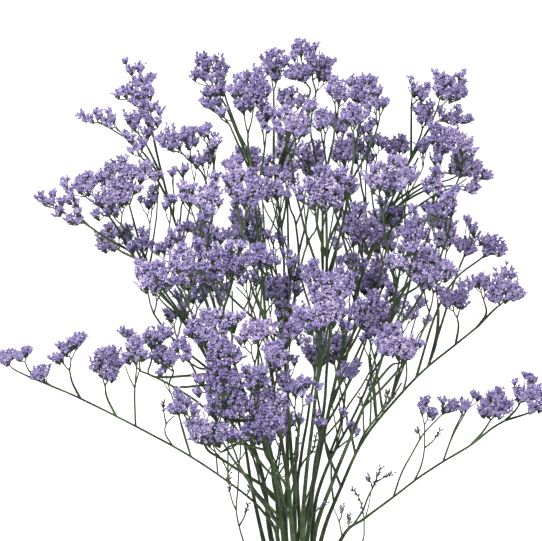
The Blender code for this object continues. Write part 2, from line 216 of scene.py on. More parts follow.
def stem_radii(name, count):
    """Thickest at the butt below the tie, full up to the first branches, then thinner towards the tip."""
    radii = []
    for place in range(count):
        along = max(0.0, place / (count - 1) - STEM_FULL_TO) / (1.0 - STEM_FULL_TO)
        butt = STEM_BUTT * min(1.0, max(0.0, BUTT_UP_TO - place / ROUTE_STEPS))
        radius = STEM_RADIUS_FOOT + (STEM_RADIUS_TIP - STEM_RADIUS_FOOT) * along ** STEM_TAPER
        above = min(1.0, max(0.0, place / ROUTE_STEPS - SLENDER_FROM))
        girth = 1.0 + (SLENDER.get(name, 1.0) - 1.0) * above
        radii.append(max(SLENDER_LEAST, girth * radius) + butt)
    return radii


runs = {}
routes = {}
for stem_name in STEM_ROUTES:
    routes[stem_name] = stem_route(stem_name)
    stem_line = routes[stem_name]
    runs[stem_name] = {"stem": [(stem_line, stem_radii(stem_name, len(stem_line)))], "branch": [], "twig": []}


# The flower heads' places
# Dense flat-bottomed heads, each of one or more groups of small tufts. A group has the way that its branch
# takes from its stem, where that shows, and its tufts as x, y and radius. Sprigs are small loose heads,
# each with its height, its way and its tufts. The places were read from the photo.

HEAD_LEVEL = {"front": 166.0, "middle": 102.0, "back": 25.0}
HEADS = {
    "front_left": [
        ("front", [
            ([(-8, 5), (-24, 8), (-36, 2)], [
                (-55.5, 25, 7.5), (-49.5, 23.5, 7), (-57, 18, 6.5), (-52.5, 13.5, 5.5), (-48, 18, 6.5),
                (-45.5, 12, 5.5), (-39.5, 12, 6), (-38, 18, 6.5), (-31, 16.5, 6.5), (-35, 14, 6),
                (-25, 15, 5.5), (-21, 13.5, 4.5), (-34, 21, 5), (-60, 23, 4.5), (-43, 20, 5),
                (-15, 19, 6), (-9, 22, 6), (-3.5, 22.5, 6), (1, 27, 5.5), (3.5, 22, 5.5), (-9, 16, 5),
                (-2, 17, 5), (6.5, 26, 5), (-14, 15, 4.5)]),
            ([(-12, 22), (-30, 24), (-47.5, 22), (-58, 24)], [
                (-62.5, 34, 5.5), (-57, 35, 5.5), (-61, 39.5, 5), (-69.5, 34, 5.5), (-72.5, 33, 4),
                (-65.5, 37, 5.5), (-66, 42.5, 4.5), (-67.5, 46.5, 4), (-55, 31, 4)]),
        ]),
        ("front", [
            ([(-12, 22), (-30, 26), (-47.5, 33.8), (-54.7, 39.5), (-69.8, 48.9), (-83.5, 56.1),
              (-94, 60.4)], [
                (-104.5, 70, 5.5), (-101.5, 74, 6), (-103, 79, 4), (-97, 78.5, 7), (-94, 75.5, 6.5),
                (-94, 82.5, 6), (-91.5, 72.5, 5.5), (-98.5, 70, 5.5), (-99, 83, 4)]),
            ([(-69.8, 48.9), (-83.5, 56.1), (-86, 68), (-86, 76)], [
                (-87, 84, 6.5), (-82.5, 88.5, 6.5), (-87, 88, 5), (-80, 85.5, 6), (-77, 90, 6),
                (-74, 88.5, 5), (-85.5, 82, 5), (-90, 85, 4.5)]),
            ([(-54.7, 39.5), (-69.8, 48.9), (-70, 60)], [
                (-80, 75.5, 6), (-82.5, 71, 5.5), (-75.5, 72.5, 6.5), (-71, 74, 5.5), (-77, 68.5, 5.5),
                (-72.5, 68.5, 5.5), (-70, 71, 4.5), (-80, 77, 4.5)]),
            ([(-27, 68), (-48, 62), (-58, 66)], [
                (-68.5, 78.5, 4.5), (-64, 82.5, 6), (-61, 77, 5), (-65.5, 80.5, 5), (-63.5, 70.5, 4),
                (-59, 71, 3)]),
        ]),
        ("front", [
            ([], [
                (-58.5, 88.5, 6), (-49.5, 98.5, 7), (-52.5, 91.5, 7), (-45.5, 93, 7), (-48, 87, 6.5),
                (-41, 85.5, 6), (-57, 95.5, 5.5), (-42.5, 98.5, 6), (-51, 82.5, 5), (-47, 102, 5.5),
                (-39.5, 102, 5), (-36.5, 82.5, 6.5), (-32.5, 81, 6.5), (-35.5, 75.5, 6),
                (-39.5, 78.5, 5.5), (-29.5, 77, 6), (-25, 74, 5), (-42.5, 72.5, 5.5), (-24, 70, 5)]),
            ([], [(-31, 95.5, 6), (-26.5, 98, 6.5), (-22.5, 101, 5), (-34, 91.5, 5), (-30, 101, 4)]),
            ([], [
                (-19.5, 87, 6), (-18, 91.5, 5), (-12, 94, 5.5), (-12, 90, 5), (-6.5, 93, 6),
                (-3.5, 95.5, 5), (-2, 90, 5), (-22.5, 84, 4.5), (-12, 84, 3.5), (-8, 87, 4)]),
            ([], [
                (-2, 75.5, 6), (3.5, 77, 7), (6.5, 80, 5), (-0.5, 80, 5), (3.5, 70, 6.5), (6.5, 67, 6),
                (2, 65.5, 5.5), (-2, 70, 4.5), (8, 72.5, 5)]),
        ]),
        ("front", [
            ([], [
                (-95.5, 139.5, 5), (-91.5, 137, 6), (-95.5, 132.5, 5), (-88.5, 129.5, 7.5),
                (-91.5, 124, 6.5), (-82.5, 125.5, 7), (-80, 132.5, 7), (-81, 137, 5.5), (-74, 137, 6.5),
                (-72.5, 128, 7), (-75.5, 122.5, 5), (-86, 136, 5), (-84, 120, 4.5)]),
            ([], [
                (-65.5, 131, 7.5), (-67, 138, 6.5), (-61, 137, 6), (-68.5, 145.5, 6), (-61, 145.5, 6),
                (-57, 141, 6.5), (-51, 147, 6), (-57, 134, 6), (-49.5, 137, 6.5), (-64, 151, 4),
                (-52.5, 152.5, 5.5), (-54.5, 128, 5.5), (-63.5, 125, 5)]),
        ]),
        ("front", [
            ([], [
                (-41, 144, 6.5), (-36.5, 148.5, 6.5), (-31, 145.5, 7), (-34, 138, 7), (-39.5, 137, 6),
                (-28, 137, 6.5), (-24, 142.5, 6.5), (-19.5, 139.5, 6), (-22.5, 132.5, 5.5),
                (-48, 131, 5.5), (-29.5, 131, 5), (-36.5, 129.5, 5), (-45, 138, 6), (-27.5, 150.5, 5),
                (-21.5, 151, 4), (-47.5, 126.5, 6), (-42, 129, 5)]),
            ([], [
                (-9.5, 144, 6.5), (-3.5, 145.5, 6), (-12, 141, 6), (-6.5, 138, 5.5), (-1, 141, 6),
                (-9.5, 149, 4.5), (5, 139.5, 3.5), (-16, 143, 4.5)]),
        ]),
        ("front", [
            ([], [
                (-62.5, 193, 5.5), (-58.5, 185.5, 6), (-52.5, 185, 6.5), (-47, 181.5, 6),
                (-43, 187, 5.5), (-48, 187, 5), (-39.5, 190, 5), (-44, 176.5, 5), (-37.5, 183, 4.5),
                (-41, 194.5, 4.5), (-57, 193.5, 5), (-48, 190.5, 5), (-40.5, 201.5, 5), (-63, 187, 5),
                (-48, 171.5, 5), (-44, 163.5, 5)]),
            ([], [
                (-31.5, 200, 6), (-29.5, 193, 6.5), (-24, 194.5, 6.5), (-24, 187, 6.5), (-18, 190, 6.5),
                (-13.5, 194.5, 6.5), (-9.5, 188.5, 6.5), (-12, 181.5, 5), (-26.5, 181.5, 4.5),
                (-25, 201.5, 5), (-16, 199, 5), (-8, 198, 5), (-18, 183, 5), (-26.5, 207.5, 5.5),
                (-21, 204.5, 6), (-15, 204.5, 5), (-23, 212.5, 4), (-29.5, 208, 4)]),
        ]),
        ("front", [
            ([], [
                (-44, 67, 5), (-38, 64, 6.5), (-41, 58, 7), (-44, 52.5, 7), (-51, 54.5, 4.5),
                (-54.5, 56, 3.5), (-34, 59.5, 6.5), (-34, 51, 8), (-39.5, 46.5, 7), (-26.5, 55.5, 7),
                (-26.5, 48, 7.5), (-31, 42.5, 7.5), (-42.5, 41, 6.5), (-33, 67, 5), (-25, 57, 5),
                (-53.5, 45.5, 4)]),
            ([], [
                (-44, 34, 6), (-36.5, 35, 7.5), (-29.5, 35, 7.5), (-22.5, 42.5, 7.5), (-24, 35, 7),
                (-18, 38, 7), (-32.5, 29.5, 6), (-21, 31, 6), (-40, 30, 5), (-27, 29, 5)]),
        ]),
    ],
    "front_centre": [
        ("front", [
            ([], [
                (-8, 46.5, 5.5), (-3.5, 44, 7), (2, 45.5, 7), (6.5, 42.5, 6.5), (-0.5, 38, 7.5),
                (5, 35, 7.5), (-3.5, 34, 7), (-6.5, 42.5, 6), (-13.5, 34, 6.5), (-9.5, 29.5, 6),
                (-11, 38, 6), (10, 37, 5), (1.5, 32.5, 4.5)]),
            ([], [
                (9.5, 57, 5), (8, 54, 5.5), (15, 52.5, 6), (19.5, 51, 6), (16.5, 46.5, 6),
                (24, 49.5, 5.5), (22.5, 54, 5), (26.5, 52.5, 4), (12, 49.5, 5.5), (28, 40, 4),
                (34, 49, 3.5), (22, 44, 4)]),
            ([], [
                (-8, 58, 6.5), (-11, 54, 6.5), (-5, 54, 6), (-15, 57, 5.5), (-5, 62.5, 5),
                (-9.5, 61, 5), (-16, 51, 5), (-18, 62.5, 5)]),
        ]),
        ("front", [
            ([], [
                (-25, 271.5, 3), (-21, 273, 5), (-16.5, 274, 5), (-10, 278, 4), (-8, 273.5, 5.5),
                (-5, 268.5, 5), (-13.5, 270, 6), (-22.5, 267.5, 5.5), (-26.5, 262.5, 5.5),
                (-22.5, 264, 5.5), (-16.5, 265.5, 6.5), (-9.5, 264, 6.5), (-3.5, 262.5, 4.5),
                (-9.5, 258.5, 6), (-18, 258.5, 6), (-15, 254, 6), (-24, 252.5, 4.5), (-19.5, 251, 5),
                (-29, 264, 3)]),
            ([], [
                (-8, 254, 5.5), (-5, 249.5, 5), (-3.5, 244, 5), (-8, 244, 4.5), (-5, 238, 4.5),
                (-2, 234, 4), (-0.5, 248.5, 5)]),
        ]),
    ],
    "front_right": [
        ("front", [
            ([], [
                (26.5, 135.5, 5.5), (31, 137, 4.5), (32.5, 131, 6), (26.5, 128, 6), (29.5, 122.5, 7),
                (34, 126.5, 6), (39.5, 128, 6.5), (45.5, 128, 6), (51, 126.5, 6), (44, 122.5, 7),
                (49.5, 121, 6.5), (55.5, 124, 6.5), (35.5, 116.5, 7), (41, 115, 7), (48, 115, 6.5),
                (31, 113.5, 5.5), (54, 116.5, 5), (49.5, 133, 5), (57, 130, 5)]),
            ([], [
                (26.5, 102, 7), (21, 105, 6), (34, 106.5, 7), (41, 105, 8), (38, 98, 7.5),
                (45.5, 99.5, 6.5), (47, 106.5, 6.5), (21, 96.5, 6.5), (26.5, 93.5, 6.5),
                (32.5, 93.5, 6), (52, 104, 5), (51, 110, 5), (53.5, 94, 5.5)]),
        ]),
        ("front", [
            ([], [
                (19.5, 193, 6.5), (21, 185.5, 5.5), (28, 196, 7.5), (35.5, 197.5, 7.5),
                (34, 188.5, 7.5), (41, 191.5, 7), (41, 197.5, 6.5), (47, 193, 6.5), (29.5, 183, 6),
                (35.5, 181.5, 6), (42.5, 184.5, 5), (38, 177, 4.5), (48, 180, 4.5), (34, 206.5, 5.5),
                (40.5, 205, 6)]),
            ([], [
                (49.5, 200, 6.5), (57, 198.5, 6), (54, 191.5, 6), (60, 193, 5), (49, 188, 4.5),
                (47.5, 203.5, 5.5), (52.5, 205, 4)]),
        ]),
        ("front", [
            ([], [
                (2, 245.5, 5.5), (6.5, 245.5, 5), (3.5, 239.5, 6), (9.5, 248.5, 4.5), (12, 244, 6.5),
                (11, 237, 6.5), (16.5, 241, 7), (21, 244, 6), (22.5, 238, 6.5), (18, 235.5, 6),
                (6.5, 234, 5.5), (26.5, 239.5, 4.5), (25, 234, 4.5), (19.5, 232.5, 4.5)]),
            ([], [(28, 253.5, 5), (31, 250.5, 3.5), (26.5, 249.5, 4)]),
        ]),
        ("front", [
            ([], [
                (44, 267, 5.5), (48, 268.5, 5), (45.5, 262.5, 6.5), (49.5, 264, 6), (42.5, 264, 4),
                (54, 260, 5.5), (48, 258.5, 5.5)]),
            ([], [
                (58.5, 261, 6), (61, 264, 5.5), (57, 270, 4.5), (60, 267.5, 6), (65.5, 270, 5.5),
                (70, 271.5, 5), (64, 265.5, 6.5), (67, 261, 6.5), (63.5, 258.5, 5), (73, 270.5, 4.5)]),
            ([], [
                (74, 264, 6), (77, 262.5, 4.5), (73, 257, 6), (78.5, 255.5, 6), (70, 252.5, 5),
                (81.5, 252.5, 5), (83, 255, 4), (77, 251, 4.5)]),
            ([], [
                (58.5, 251, 5.5), (55.5, 248.5, 6), (60, 245.5, 7), (64, 248.5, 5.5), (54, 244, 6),
                (64, 242.5, 5.5), (68.5, 245.5, 5), (61, 239.5, 6)]),
        ]),
    ],
    "front_far": [
        ("front", [
            ([(74, 50), (86, 64), (93, 66)], [
                (84.5, 91.5, 4.5), (80, 87, 5.5), (77, 82.5, 5), (84.5, 82.5, 6), (81.5, 77, 5.5),
                (90, 88.5, 5.5), (88.5, 82.5, 6), (87, 77, 6), (93, 75.5, 6), (94.5, 82.5, 6),
                (98.5, 82.5, 6), (98.5, 77, 6.5), (96, 72.5, 5), (103, 80, 5.5), (102.5, 75.5, 5),
                (107.5, 80, 3.5), (91.5, 93, 3.5), (99.5, 72.5, 4.5)]),
        ]),
        ("front", [
            ([], [(88.5, 141, 6.5), (93, 139.5, 6.5), (87, 137, 6), (96, 137, 5.5), (84.5, 141, 4)]),
            ([], [
                (104.5, 139.5, 6.5), (109, 137, 7), (101.5, 134, 6.5), (106, 128, 7), (111.5, 131, 7.5),
                (116, 137, 7), (110, 144, 6.5), (116, 144, 6.5), (106, 145.5, 5.5), (119, 131, 6.5),
                (113, 125.5, 6), (109, 122.5, 4.5), (126, 137, 5.5), (127.5, 129.5, 5),
                (130.5, 132.5, 4), (121.5, 138, 6), (113, 148.5, 5)]),
            ([], [(104.5, 151, 6), (100, 148.5, 5), (97, 152, 4)]),
        ]),
        ("front", [
            ([], [
                (71.5, 201.5, 6.5), (77, 200, 8), (73, 196, 6.5), (81.5, 196, 7), (83, 204.5, 7),
                (88.5, 204.5, 7), (88.5, 197.5, 7), (85.5, 193, 6.5), (81.5, 209.5, 6), (74, 208, 5)]),
            ([], [
                (94.5, 204.5, 6.5), (96, 198.5, 6.5), (93, 193, 5.5), (101.5, 200, 5.5),
                (100, 205, 5.5), (88.5, 214, 5.5), (93, 211, 6), (96, 211, 4.5), (104.5, 202, 3.5)]),
        ]),
        ("front", [
            ([], [
                (116, 238, 4), (117.5, 234, 5.5), (121.5, 235.5, 5.5), (127.5, 234, 6.5),
                (120.5, 229.5, 6.5), (124.5, 222.5, 6), (120.5, 219.5, 5.5), (116, 228, 4),
                (118, 214, 4.5), (121.5, 214, 4)]),
            ([], [
                (133, 232.5, 7), (129, 228, 7), (136, 227, 6.5), (140.5, 228, 5.5), (132, 221, 6.5),
                (137.5, 222.5, 6.5), (142, 224, 5.5), (145, 219.5, 5)]),
        ]),
        ("front", [
            ([], [
                (111.5, 196, 6), (116, 197.5, 6), (113, 191.5, 6), (120.5, 194.5, 6), (119, 200, 5.5),
                (121.5, 188.5, 5), (121.5, 202, 4.5), (119, 205, 4.5)]),
            ([], [
                (130.5, 188.5, 6), (133, 191.5, 4.5), (127.5, 185.5, 6), (124.5, 181.5, 6),
                (130.5, 181.5, 5), (116.5, 176.5, 5), (124, 174, 5.5), (129.5, 175, 4)]),
            ([], [
                (101.5, 168.5, 6), (107.5, 170, 5.5), (103, 171.5, 5), (104.5, 162.5, 6.5),
                (100, 164, 5.5), (109, 161, 5.5), (97, 158.5, 4.5), (104.5, 157, 5.5), (101, 178, 4.5)]),
        ]),
    ],
    "left_arm": [
        ("middle", [
            ([(-138, 41), (-143, 52), (-145, 61)], [
                (-154, 70, 4.5), (-156, 70.5, 4), (-151, 70, 3.5), (-149, 77.5, 5), (-147.5, 76, 4.5),
                (-144, 82.5, 5), (-142.5, 80.5, 5), (-137.5, 84, 5), (-136.5, 86.5, 4),
                (-139.5, 81.5, 4.5), (-152, 79, 3.5)]),
        ]),
        ("middle", [
            ([(-113.5, 29.5), (-118, 41), (-119.5, 50)], [
                (-124.5, 72.5, 5), (-124.5, 68.5, 6), (-127.5, 64, 4.5), (-118.5, 65.5, 7),
                (-116, 71, 6), (-111.5, 67, 6), (-118.5, 58, 6), (-114.5, 59.5, 5.5), (-123, 59.5, 5),
                (-108.5, 68.5, 5.5), (-121.5, 74, 4.5), (-114.5, 56, 4), (-112.5, 75, 5.5),
                (-118, 76, 4.5)]),
        ]),
    ],
    "left_outer": [
        ("middle", [
            ([(-88, 128), (-99, 152), (-108, 166)], [
                (-118.5, 191.5, 8), (-110, 193, 8.5), (-103, 194.5, 7), (-97, 193, 5),
                (-124.5, 185, 6.5), (-116.5, 185.5, 7.5), (-108.5, 185, 6), (-120, 178, 6.5),
                (-113.5, 177, 5.5), (-126.5, 174, 5), (-104.5, 185.5, 5), (-115, 198, 6),
                (-107.5, 199.5, 6)]),
            ([(-88, 128), (-96, 158), (-102, 180)], [
                (-108.5, 212.5, 6.5), (-114.5, 208, 6.5), (-119, 204, 5.5), (-106, 206.5, 7),
                (-97, 206.5, 6), (-90, 209.5, 5.5), (-94, 202, 6), (-86.5, 202, 3), (-123, 200, 6),
                (-100, 203.5, 5)]),
            ([(-100, 145), (-113, 167), (-124, 180)], [
                (-136, 199.5, 5.5), (-139, 193.5, 6.5), (-133, 192.5, 6.5), (-128.5, 196.5, 4.5),
                (-145, 190.5, 4), (-132, 202, 5), (-139, 198, 4.5)]),
        ]),
        ("middle", [
            ([(-104, 148), (-120, 157), (-133, 166), (-146, 173)], [
                (-167, 186.5, 4.5), (-164, 183, 4), (-157, 188.5, 4.5), (-159, 183, 4.5),
                (-152, 178, 5), (-153.5, 174.5, 4), (-151, 183, 4)]),
            ([(-104, 148), (-120, 157), (-131, 165)], [
                (-145.5, 184.5, 5), (-143, 187, 4), (-139.5, 175.5, 4.5), (-143, 169, 5),
                (-145.5, 170, 4), (-137.5, 170.5, 4.5), (-149, 194.5, 4.5), (-148, 198, 3),
                (-140, 182, 4)]),
        ]),
        ("back", [
            ([(-98, 140), (-107, 146), (-110, 148)], [
                (-116.5, 165, 4), (-108.5, 162.5, 3.5), (-106, 161, 3.5), (-101.5, 164, 3.5),
                (-103, 157.5, 3.5), (-122.5, 159, 4.5), (-118, 155.5, 7), (-121.5, 151, 5.5),
                (-114.5, 151, 5.5), (-114.5, 160.5, 5.5), (-108.5, 161, 5), (-103.5, 156, 4.5)]),
        ]),
        ("back", [
            ([], [
                (-75.5, 103, 4.5), (-72.5, 99.5, 4.5), (-69, 100.5, 3), (-64, 107, 5),
                (-65.5, 101.5, 3.5), (-62.5, 101.5, 4.5), (-62.5, 108, 5)]),
        ]),
    ],
    "left_tall": [
        ("middle", [
            ([(-86, 236), (-91, 256), (-93, 264)], [
                (-105, 283.6, 2.5), (-101, 278, 5), (-93.5, 279, 5), (-91.5, 271.5, 4.5),
                (-84.5, 272.5, 4), (-97, 271, 4), (-86.5, 271.5, 4.5)]),
            ([(-86, 230), (-94, 248), (-99, 254)], [
                (-111, 260, 4), (-105.5, 261.5, 5), (-100.5, 264.5, 6), (-97, 268, 4), (-107, 263, 4)]),
            ([(-84, 220), (-87, 240)], [
                (-88, 262, 6.5), (-85, 252, 5.5), (-80, 249, 4.5), (-92, 259, 4), (-96, 260.5, 5.5),
                (-90.5, 266.5, 5.5), (-93, 253.5, 5.5), (-98, 255, 5), (-91.5, 248.5, 5)]),
        ]),
        ("middle", [
            ([(-78, 198), (-86, 216), (-90, 224)], [
                (-103, 244, 7), (-97, 244, 6.5), (-99, 238, 5), (-81, 242, 6), (-87, 242, 6),
                (-89, 234, 6.5)]),
            ([(-74, 182), (-84, 202), (-91, 212)], [
                (-101.5, 229, 6), (-94, 226, 6), (-100.5, 219.5, 5), (-96, 221, 5), (-105, 232, 3.5)]),
        ]),
        ("middle", [
            ([(-54, 130), (-46, 180), (-48, 200), (-58, 212)], [
                (-73, 232, 8), (-65.5, 229.5, 6), (-60.5, 234, 5), (-60, 225.5, 5), (-74, 224.5, 6),
                (-67, 223, 5), (-79, 228, 5), (-62, 229, 4), (-57, 234, 4.5), (-54.5, 226.5, 4)]),
            ([(-52, 126), (-41, 180), (-41, 206), (-43, 218)], [
                (-51, 234, 4.5), (-48, 234, 5.5), (-45.5, 232, 5), (-44.5, 237, 4)]),
        ]),
        ("middle", [
            ([], [
                (-91.5, 161.5, 6), (-95.5, 154, 6.5), (-89, 154, 6.5), (-92, 149, 4), (-100, 149.5, 4.5)]),
            ([], [
                (-72.5, 154, 6.5), (-78.5, 151, 6.5), (-82.5, 148.5, 5), (-71, 160, 5),
                (-65.5, 164, 5.5), (-60.5, 165.5, 5), (-66, 157, 5)]),
        ]),
        ("back", [
            ([], [
                (-67, 116.5, 6), (-61, 124, 6), (-54, 121, 6.5), (-47, 119.5, 6), (-57, 115, 6),
                (-49.5, 113.5, 5)]),
            ([], [(-38, 119.5, 6.5), (-32.5, 122.5, 5.5), (-36.5, 113.5, 5.5), (-42.5, 122.5, 5)]),
        ]),
    ],
    "centre": [
        ("middle", [
            ([(-8, 196), (-22, 226), (-32, 250), (-37, 258)], [
                (-51, 286, 5.5), (-47, 281.5, 6), (-52.5, 283, 5), (-48, 287, 4), (-54, 275.5, 4.5),
                (-49.5, 274, 5.5), (-55.5, 271.5, 3)]),
            ([(-6, 190), (-22, 228), (-31, 252), (-34, 262)], [
                (-42.5, 284.5, 4), (-38, 285, 5), (-36.5, 281.5, 4.5), (-39.5, 278.5, 5.5),
                (-34.5, 275, 4.5), (-32.5, 278.5, 2.5), (-44, 273, 5.5), (-38, 271.5, 5.5),
                (-36.5, 267, 5.5)]),
            ([(-6, 186), (-22, 220), (-30, 238)], [
                (-44, 262.5, 6), (-47, 261.5, 4), (-40.5, 262.5, 4.5), (-47.5, 254, 5.5),
                (-43, 252.5, 5), (-38, 255.5, 5), (-49.5, 254.5, 4), (-36, 262.5, 4.5)]),
        ]),
        ("middle", [
            ([(-1, 210), (2, 240), (2, 262)], [
                (0, 290, 5), (5, 290, 5), (9.5, 285.5, 5.5), (-3.5, 285.5, 5), (2, 284.5, 8),
                (-2, 280, 6), (6.5, 280, 6), (2, 277, 7), (3.5, 273, 5)]),
            ([(4, 200), (16, 236), (28, 260), (25, 268)], [
                (21, 297, 4.5), (18, 294.5, 4.5), (24, 294.5, 4.5), (16.5, 288, 4.5), (21, 291.5, 4),
                (16.5, 280, 5), (15, 275.5, 5.5), (19.5, 274, 5.5), (24, 277, 5.5), (25, 273, 5),
                (12, 273.5, 4)]),
            ([(4, 200), (24, 240), (32, 258), (30, 270)], [
                (28, 291.5, 5), (32.5, 295, 3), (26.5, 288.5, 5.5), (28, 284.5, 5), (34, 285.5, 7),
                (39.5, 284.5, 6), (44, 283, 3.5), (35.5, 280, 6), (29.5, 280, 5.5), (39.5, 278.5, 4)]),
            ([], [
                (6.5, 257, 5), (9.5, 261, 5), (15, 262.5, 4.5), (9.5, 255.5, 6), (15, 255.5, 7),
                (21, 257, 5.5), (19.5, 254, 5), (11.5, 252.5, 4.5)]),
        ]),
        ("middle", [
            ([], [
                (13.5, 28, 5), (9.5, 26.5, 5.5), (3.5, 25, 6.5), (-2, 25, 7), (2, 19.5, 6.5),
                (-2, 12, 5.5), (-3.5, 18, 6.5), (6.5, 18, 6), (9.5, 21, 5), (13.5, 23.5, 4),
                (-6.5, 18, 5.5), (-0.5, 24.5, 5.5)]),
            ([], [
                (-8, 22, 7), (-12, 26.5, 6), (-16.5, 25, 6), (-8, 13.5, 6), (-13.5, 18, 6), (-18, 18, 6)]),
        ]),
        ("middle", [
            ([], [
                (12, 128, 6), (16.5, 131, 6), (21, 128, 5), (9.5, 122.5, 6.5), (16.5, 122.5, 6.5),
                (12, 116.5, 6), (6.5, 116.5, 6), (19.5, 119.5, 5.5)]),
            ([], [
                (9.5, 108, 6), (5, 109.5, 5.5), (15, 108, 5), (6.5, 101, 5), (16.5, 99.5, 6),
                (12, 93.5, 6.5), (13.5, 87, 5), (18, 88.5, 6), (21, 82.5, 5.5), (8, 87, 4.5),
                (2, 93, 4)]),
        ]),
        ("back", [
            ([], [
                (-54.5, 164, 5.5), (-49.5, 170, 6), (-47, 164, 7), (-52.5, 158.5, 6), (-44, 157, 7),
                (-48, 154, 5), (-39, 160, 6), (-35.5, 157, 5), (-49, 165.5, 6.5), (-46, 157.5, 6.5)]),
        ]),
        ("back", [
            ([], [
                (-26.5, 175, 4.5), (-27.5, 170, 4), (-22.5, 171.5, 6), (-16.5, 173, 7.5),
                (-11, 174.5, 6.5), (-9.5, 168.5, 6), (-15, 165.5, 7), (-31, 161, 5),
                (-26.5, 158.5, 5.5), (-19.5, 158.5, 6.5), (-12, 158.5, 6.5), (-8, 161, 4.5),
                (-24, 164, 5.5), (-11, 153.5, 5)]),
        ]),
        ("back", [
            ([], [
                (6.5, 225.5, 4.5), (9.5, 221, 6), (12, 225.5, 5), (15, 219.5, 6), (18, 222.5, 5),
                (6.5, 218, 5), (11, 213.5, 5), (13.5, 206.5, 5.5), (18, 208, 4), (9.5, 206.5, 5),
                (11, 221, 5), (10, 214, 5)]),
            ([], [
                (21, 218, 5.5), (26.5, 222.5, 5), (26.5, 216.5, 7), (31, 218, 6), (32.5, 224, 4.5),
                (24, 211, 6.5), (31, 211, 6.5), (35.5, 218, 5), (26.5, 205, 6), (35.5, 212.5, 4.5)]),
        ]),
    ],
    "right_upper": [
        ("middle", [
            ([], [(57, 241, 5), (49.5, 241, 5), (48, 237, 5.5), (52.5, 235.5, 4.5), (45.5, 239, 4.5)]),
            ([], [
                (35.5, 245.5, 5.5), (38, 247, 5), (41, 242.5, 5.5), (35.5, 241, 5), (34, 237, 4),
                (44, 244, 4), (38, 239.5, 4.5)]),
            ([], [
                (49.5, 225.5, 6), (47, 219.5, 6), (54, 221, 6.5), (51, 216.5, 6.5), (57, 216.5, 6),
                (55.5, 225.5, 5.5), (47, 215, 4.5), (57, 229.5, 4)]),
            ([], [
                (61, 219.5, 5.5), (62.5, 225.5, 5), (67, 221, 5), (60, 214, 4.5), (68.5, 217, 4.5),
                (67, 235.5, 5.5), (64, 232.5, 5)]),
        ]),
        ("middle", [
            ([(102, 214), (101, 240), (101, 252)], [
                (101.5, 270.5, 3.5), (104.5, 265, 5), (103, 262.5, 5), (107.5, 261.5, 5),
                (111.5, 262.5, 4.5), (112.5, 266.5, 3.5), (109.5, 258.5, 5)]),
            ([(99, 209), (107, 228), (109, 235)], [
                (110, 251, 6.5), (109, 247, 7), (113, 248.5, 6.5), (107.5, 242.5, 5), (113, 242.5, 5),
                (116, 252.5, 4), (105, 248.5, 4.5)]),
            ([(99, 209), (112, 232), (120, 250)], [
                (120.5, 272, 5.5), (123, 268.5, 7), (127.5, 271.5, 6), (130.5, 267, 7),
                (121.5, 264, 5.5), (126, 262.5, 6.5), (132, 262.5, 6), (134.5, 267, 5.5),
                (137.5, 264, 5), (137.5, 270, 3.5), (139, 275, 2), (136, 273, 3), (136, 260, 5),
                (130.5, 258.5, 5), (118, 275, 2.5), (139.5, 261, 3.5), (124, 260, 4)]),
            ([(99, 209), (112, 232), (119, 240)], [
                (123, 248.5, 5), (124.5, 244, 5.5), (130.5, 245.5, 5.5), (134.5, 247, 4.5),
                (134.5, 242.5, 5.5), (140.5, 242.5, 5), (143.5, 242, 3.5), (134, 250.5, 2),
                (129, 241, 5)]),
        ]),
        ("middle", [
            ([(86, 180), (106, 194), (122, 203)], [
                (136, 216.5, 6), (142, 214, 7), (136, 211, 7), (132, 212.5, 5), (143.5, 206.5, 7),
                (137.5, 206.5, 6), (147.5, 209.5, 5.5), (150.5, 205, 6), (132, 206.5, 5),
                (155, 202, 4.5), (157.5, 201, 3), (139, 202, 4)]),
            ([(84, 176), (110, 190), (130, 194)], [
                (145, 195, 5.5), (147.5, 198, 5), (145, 190.5, 5), (140.5, 192, 3.5),
                (148.5, 192, 4)]),
        ]),
        ("middle", [
            ([], [
                (57, 174, 6), (64, 175.5, 6.5), (54, 170, 5), (61, 165.5, 8), (68.5, 167, 7.5),
                (55.5, 162.5, 4.5), (64, 160, 6), (61, 155.5, 4.5), (61.5, 179, 5), (66, 179, 5),
                (70, 160, 4.5), (51, 162.5, 4.5)]),
            ([], [
                (77, 161, 5.5), (74, 167, 4.5), (80, 163, 4), (80, 175, 5), (86.5, 176.5, 5.5),
                (93.5, 176.5, 5.5), (75, 155.5, 5.5)]),
        ]),
        ("back", [
            ([], [
                (74, 174, 4), (85.5, 180, 5), (90, 175.5, 6), (88.5, 168.5, 6), (92, 170, 5),
                (77, 170, 5), (81.5, 165.5, 5), (80, 183.5, 4.5)]),
            ([], [
                (67, 151, 6), (75.5, 151, 6), (83, 154, 6), (87, 158.5, 5), (93, 162.5, 5),
                (74, 158.5, 5.5), (94.5, 149.5, 5), (87, 151, 4.5), (82, 156, 5)]),
        ]),
        ("back", [
            ([], [
                (80, 141, 5.5), (77, 139.5, 6), (74, 137, 6.5), (78.5, 134, 6), (71.5, 131, 6),
                (77, 128, 6.5), (70, 125.5, 6), (80, 124, 6), (74, 122.5, 6.5), (67, 122.5, 6),
                (81.5, 128, 5.5), (71.5, 129.5, 5.5), (68.5, 121.5, 6)]),
            ([], [(64, 128, 5.5), (62.5, 134, 5), (60, 122, 5)]),
        ]),
        ("back", [
            ([], [
                (114.5, 178.5, 6.5), (119, 180, 6), (116, 173, 6.5), (120.5, 174, 6), (111.5, 180, 5),
                (121.5, 167, 5.5), (126, 168.5, 5.5), (130.5, 167, 5), (116, 167, 5)]),
            ([], [
                (121.5, 158.5, 6), (127.5, 160, 5), (124.5, 154, 6), (130.5, 161, 4.5), (120.5, 154, 5),
                (129, 155.5, 5), (113, 155.5, 4)]),
        ]),
    ],
    "right_long": [
        ("middle", [
            ([(114, 63), (124, 98), (133, 128), (139, 143)], [
